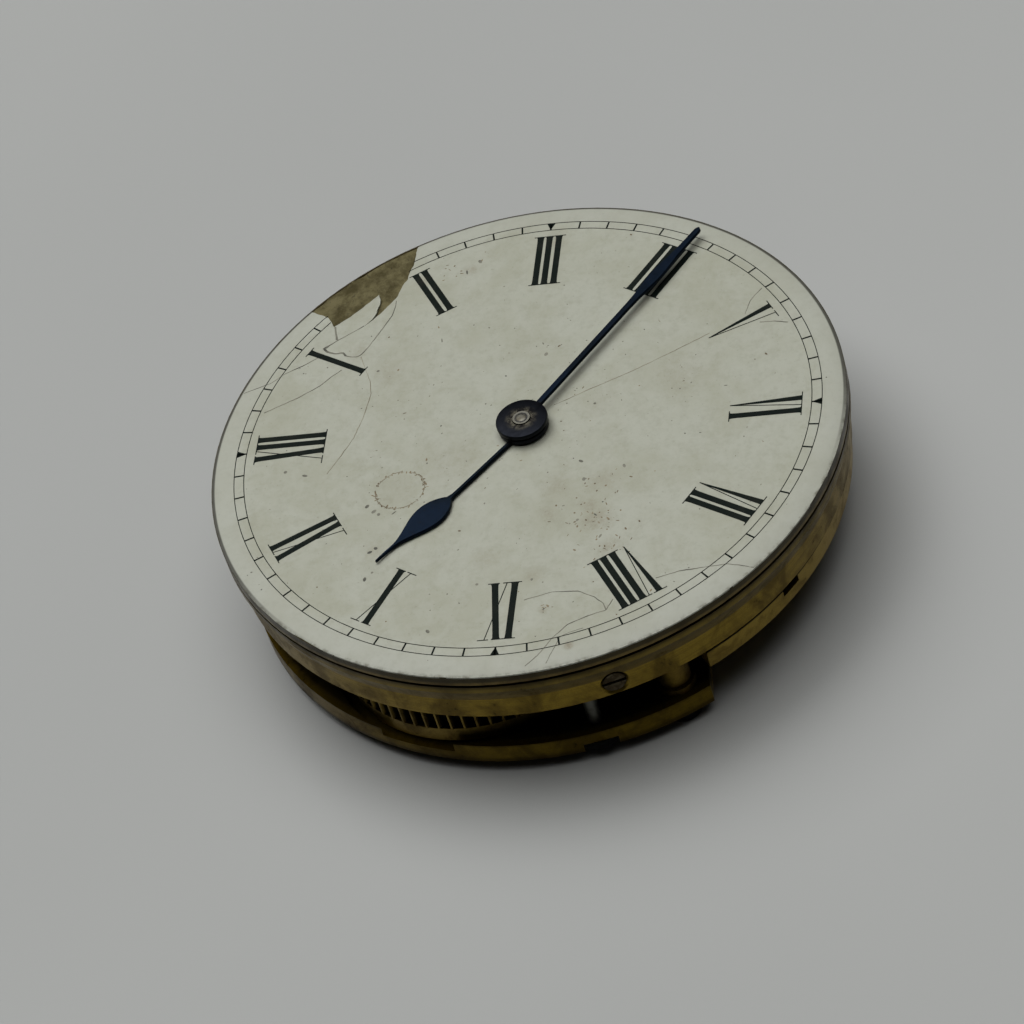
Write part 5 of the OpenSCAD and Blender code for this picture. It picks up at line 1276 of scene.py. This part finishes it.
print(f"blades are {BLADE_T / MM:.2f} mm thick")

# %% Turn a boss
BOSS_EDGE = 0.08 * MM


def spin(build, profile, steps=96):
    """Spins a closed profile of (radius, height) points, listed anticlockwise, round the axis."""
    rings = []
    for i in range(steps):
        a = 2.0 * math.pi * i / steps
        rings.append([build.verts.new((r * math.cos(a), r * math.sin(a), z)) for r, z in profile])
    for here, after in zip(rings, rings[1:] + rings[:1]):
        for j in range(len(profile)):
            k = (j + 1) % len(profile)
            build.faces.new((here[j], after[j], after[k], here[k]))


def boss(build, outer, inner, low, high):
    """A turned ring with softened edges."""
    edge = BOSS_EDGE
    spin(build, [(inner, low), (outer - edge, low), (outer, low + edge), (outer, high - edge),
                 (outer - 0.4 * edge, high - 0.15 * edge), (outer - edge, high), (inner + 0.5 * edge, high),
                 (inner, high - 0.5 * edge)])


print(f"edges of the bosses are softened by {BOSS_EDGE / MM:.2f} mm")

# %% Make the two hands
MINUTE_CLOCK, HOUR_CLOCK = 122.2, 307.5


def make_hand(name, clock, stations, width, bend, node, outer, inner, body):
    """A blade and its boss at the levels of the solid hand."""
    low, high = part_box(node)[0].z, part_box(node)[1].z
    build = bmesh.new()
    blade(build, clock, stations, width, bend, low)
    boss(build, outer, inner, low, high)
    piece = add_piece(name, close_mesh(name, build), blued, smooth=True)
    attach(piece, body)
    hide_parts(node)
    print(name, len(piece.data.polygons), "faces")


minute_steps = [1.2 + 17.2 * i / 60 for i in range(61)] + [18.6, 18.72, MINUTE_END]
make_hand("minute_hand_dressed", MINUTE_CLOCK, minute_steps, minute_width, no_bend, "minute_hand",
          1.63 * MM, 0.56 * MM, "centre")
hour_steps = [1.25 + 5.75 * i / 16 for i in range(17)] + [7.0 + 6.2 * i / 80 for i in range(1, 81)]
make_hand("hour_hand_dressed", HOUR_CLOCK, hour_steps, hour_width, hour_bend, "hour_hand",
          1.58 * MM, 1.15 * MM, "hour")

# %% [markdown]
# ## The end of the centre arbor
# In the middle of the minute hand's boss sits the bright end of the cannon pinion, a groove of black
# oil, and the domed end of the centre arbor. Two small turned pieces add the groove and the dome to
# the plain solids.

# %% Turn the arbor's end
cannon_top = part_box("cannon_pinion")[1].z


def lathe(name, profile, material):
    """A turned piece; the profile's heights are millimetres above the cannon pinion's end."""
    build = bmesh.new()
    spin(build, [(r * MM, cannon_top + h * MM) for r, h in profile])
    bmesh.ops.remove_doubles(build, verts=build.verts[:], dist=1e-7)
    piece = add_piece(name, close_mesh(name, build), material, smooth=True)
    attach(piece, "centre")
    print(name, len(piece.data.polygons), "faces")


lathe("oil_ring", [(0.33, -0.03), (0.42, -0.03), (0.41, 0.012), (0.34, 0.012)], crack_oil)
lathe("arbor_end", [(0.0, -0.03), (0.335, -0.03), (0.335, 0.01), (0.3, 0.03), (0.18, 0.048), (0.0, 0.055)],
      old_steel)

# %% [markdown]
# ## Springs
# The hairspring is a flat spiral of fine blued strip that swings the balance; the mainspring is a long,
# broad strip coiled in the barrel. Both are wire on a path, so one Geometry Nodes tree bends a
# straight line into a spiral and sweeps a rectangle along it. Angles run clockwise, as a clock does.

# %% Tree of a wound strip
spring_tree, t_in, t_out = start_tree("wound_strip", [
    ("Centre", "Vector", None), ("Inner radius", "Float", 0.0), ("Outer radius", "Float", 0.0),
    ("Turns", "Float", 1.0), ("Start angle", "Float", 0.0), ("Strip thickness", "Float", 0.0),
    ("Strip height", "Float", 0.0), ("Points", "Int", 200), ("Material", "Material", None)])
straight = grow(spring_tree, "GeometryNodeCurvePrimitiveLine", {"End": (1.0, 0.0, 0.0)}).outputs[0]
stops = grow(spring_tree, "GeometryNodeResampleCurve", {"Curve": straight, "Count": t_in["Points"]},
             mode="COUNT")
along = spring_tree.nodes.new("GeometryNodeSplineParameter").outputs["Factor"]
widening = math_node(spring_tree, "SUBTRACT", t_in["Outer radius"], t_in["Inner radius"])
coil_r = math_node(spring_tree, "MULTIPLY_ADD", along, widening, t_in["Inner radius"])
sweep = math_node(spring_tree, "MULTIPLY", t_in["Turns"], 2.0 * math.pi)
coil_a = math_node(spring_tree, "MULTIPLY_ADD", along, sweep, t_in["Start angle"])
coil_x = math_node(spring_tree, "MULTIPLY", coil_r, math_node(spring_tree, "SINE", coil_a))
coil_y = math_node(spring_tree, "MULTIPLY", coil_r, math_node(spring_tree, "COSINE", coil_a))
spiral = put(spring_tree, "CombineXYZ", {0: coil_x, 1: coil_y}).outputs[0]
placed = put(spring_tree, "VectorMath", {0: spiral, 1: t_in["Centre"]}, operation="ADD").outputs[0]
coil = grow(spring_tree, "GeometryNodeSetPosition", {"Geometry": stops.outputs[0], "Position": placed})
upright = grow(spring_tree, "GeometryNodeSetCurveNormal", {"Curve": coil.outputs[0]}, mode="Z_UP")
section = grow(spring_tree, "GeometryNodeCurvePrimitiveQuadrilateral",
               {"Width": t_in["Strip thickness"], "Height": t_in["Strip height"]}).outputs[0]
swept = grow(spring_tree, "GeometryNodeCurveToMesh", {"Curve": upright.outputs[0], "Profile Curve": section,
                                                      "Fill Caps": True})
end_tree(spring_tree, swept.outputs[0], t_in["Material"], t_out)
print("spring tree has", len(spring_tree.nodes), "nodes")

# %% Wind the springs
def wind(name, node, axis_node, inner, outer, turns, start, strip, count, body, material):
    """A wound strip in the place of a spring, at the height of its solid."""
    low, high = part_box(node)
    axis = (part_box(axis_node)[0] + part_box(axis_node)[1]) / 2.0
    piece = run_tree(name, seed_object(name + "_seed"), spring_tree, {
        "Centre": (axis.x, axis.y, (low.z + high.z) / 2.0), "Inner radius": inner * MM,
        "Outer radius": outer * MM, "Turns": turns, "Start angle": math.radians(start),
        "Strip thickness": strip * MM, "Strip height": high.z - low.z, "Points": count}, material)
    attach(piece, body)
    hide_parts(node)
    print(name, [round(v / MM, 2) for v in piece.dimensions], "mm")


wind("hairspring_wound", "hairspring", "balance_staff", 0.8, 3.1, 4.5, 140.0, 0.08, 400, "movement_frame",
     screw_blue)
wind("mainspring_wound", "mainspring", "barrel_arbor", 2.35, 7.93, 8.0, 0.0, 0.2, 640, "barrel", old_steel)

# %% [markdown]
# ## The click's spring
# A thin steel blade presses the click into the ratchet wheel, and gives way when the click is lifted. A
# solid can't give way, so the blade is bent less than a tenth of a millimetre away from the click, which
# leaves room for the lift. The piece is a copy of the solid with its points merged. Each point moves by
# the square of its distance from the spring's screw, as a bent blade does.

# %% Bend the click's spring
SPRING_BEND = 0.08 * MM
foot = sum(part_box("click_spring_screw"), Vector()).xy / 2.0
build = bmesh.new()
build.from_mesh(cad_nodes["click_spring"].data)
bmesh.ops.remove_doubles(build, verts=build.verts[:], dist=1e-7)
free_end = max((v.co.xy for v in build.verts), key=lambda p: (p - foot).length)
blade_length = (free_end - foot).length
aside = Vector((free_end.y - foot.y, foot.x - free_end.x, 0.0)).normalized()
for v in build.verts:
    v.co += aside * SPRING_BEND * ((v.co.xy - foot).length / blade_length) ** 2
click_blade = add_piece("click_spring_bent", close_mesh("click_spring_bent", build), steel, smooth=True)
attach(click_blade, "movement_frame")
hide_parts("click_spring")
print(f"click spring bent, blade {blade_length / MM:.2f} mm")

# %% [markdown]
# ## Floor, light and sky
# The photo was taken on a plain grey surface under a broad soft light that comes from the upper left
# of the picture and from high up, so the shadow falls to the lower right. The floor is a large plain
# sheet with a hint of unevenness. One big area lamp is the main light, and a sky that is bright above
# and dim at the horizon fills in, which also keeps the sides of the movement dark as in the photo. The
# bright part of the sky leans eight degrees away from the camera, so that the near side is in shade.

# %% Lay the floor
FLOOR_HALF, FLOOR_GAP = 9.0, 0.02 * MM
floor_grey, tree, shader, place = start_material("floor_grey")
uneven = cloudy(tree, place, 9.0, 3.0)
grey = blend(tree, ease(tree, uneven, 0.3, 0.7), rgb(0.4, 0.408, 0.395), rgb(0.425, 0.433, 0.42))
feed(tree, shader, {"Base Color": grey, "Roughness": 0.75})
mesh = bpy.data.meshes.new("floor")
corners = [(FLOOR_HALF * x, FLOOR_HALF * y, 0.0) for x, y in ((-1, -1), (1, -1), (1, 1), (-1, 1))]
mesh.from_pydata(corners, [], [(0, 1, 2, 3)])
floor = add_piece("floor", mesh, floor_grey)
floor.location.z = -FLOOR_GAP
print("floor laid,", 2.0 * FLOOR_HALF, "m wide")

# %% Hang the lamp
window = bpy.data.lights.new("key_window", "AREA")
window.size = 0.7
window.energy = 3.7
key = into_scene("key_window", window)
key.location = (0.32, 0.38, 0.81)
aim = Vector((0.0, 0.0, face_z)) - key.location
key.rotation_euler = aim.to_track_quat("-Z", "Y").to_euler()
print("lamp is", round(aim.length, 2), "m from the dial")

# %% Paint the sky
SKY_AXIS = (0.138, 0.014, 0.99)
world = bpy.data.worlds.new("soft_sky")
bpy.context.scene.world = world
world.use_nodes = True
sky = world.node_tree
direction = sky.nodes.new("ShaderNodeTexCoord").outputs["Generated"]
up = put(sky, "VectorMath", {0: direction, 1: SKY_AXIS}, operation="DOT_PRODUCT").outputs["Value"]
glow = blend(sky, ease(sky, up, 0.76, 1.0), rgb(0.01, 0.01, 0.01), rgb(2.55, 2.55, 2.55))
feed(sky, sky.nodes["Background"], {"Color": glow})
bpy.context.scene.view_settings.view_transform = "Standard"
print("sky painted")
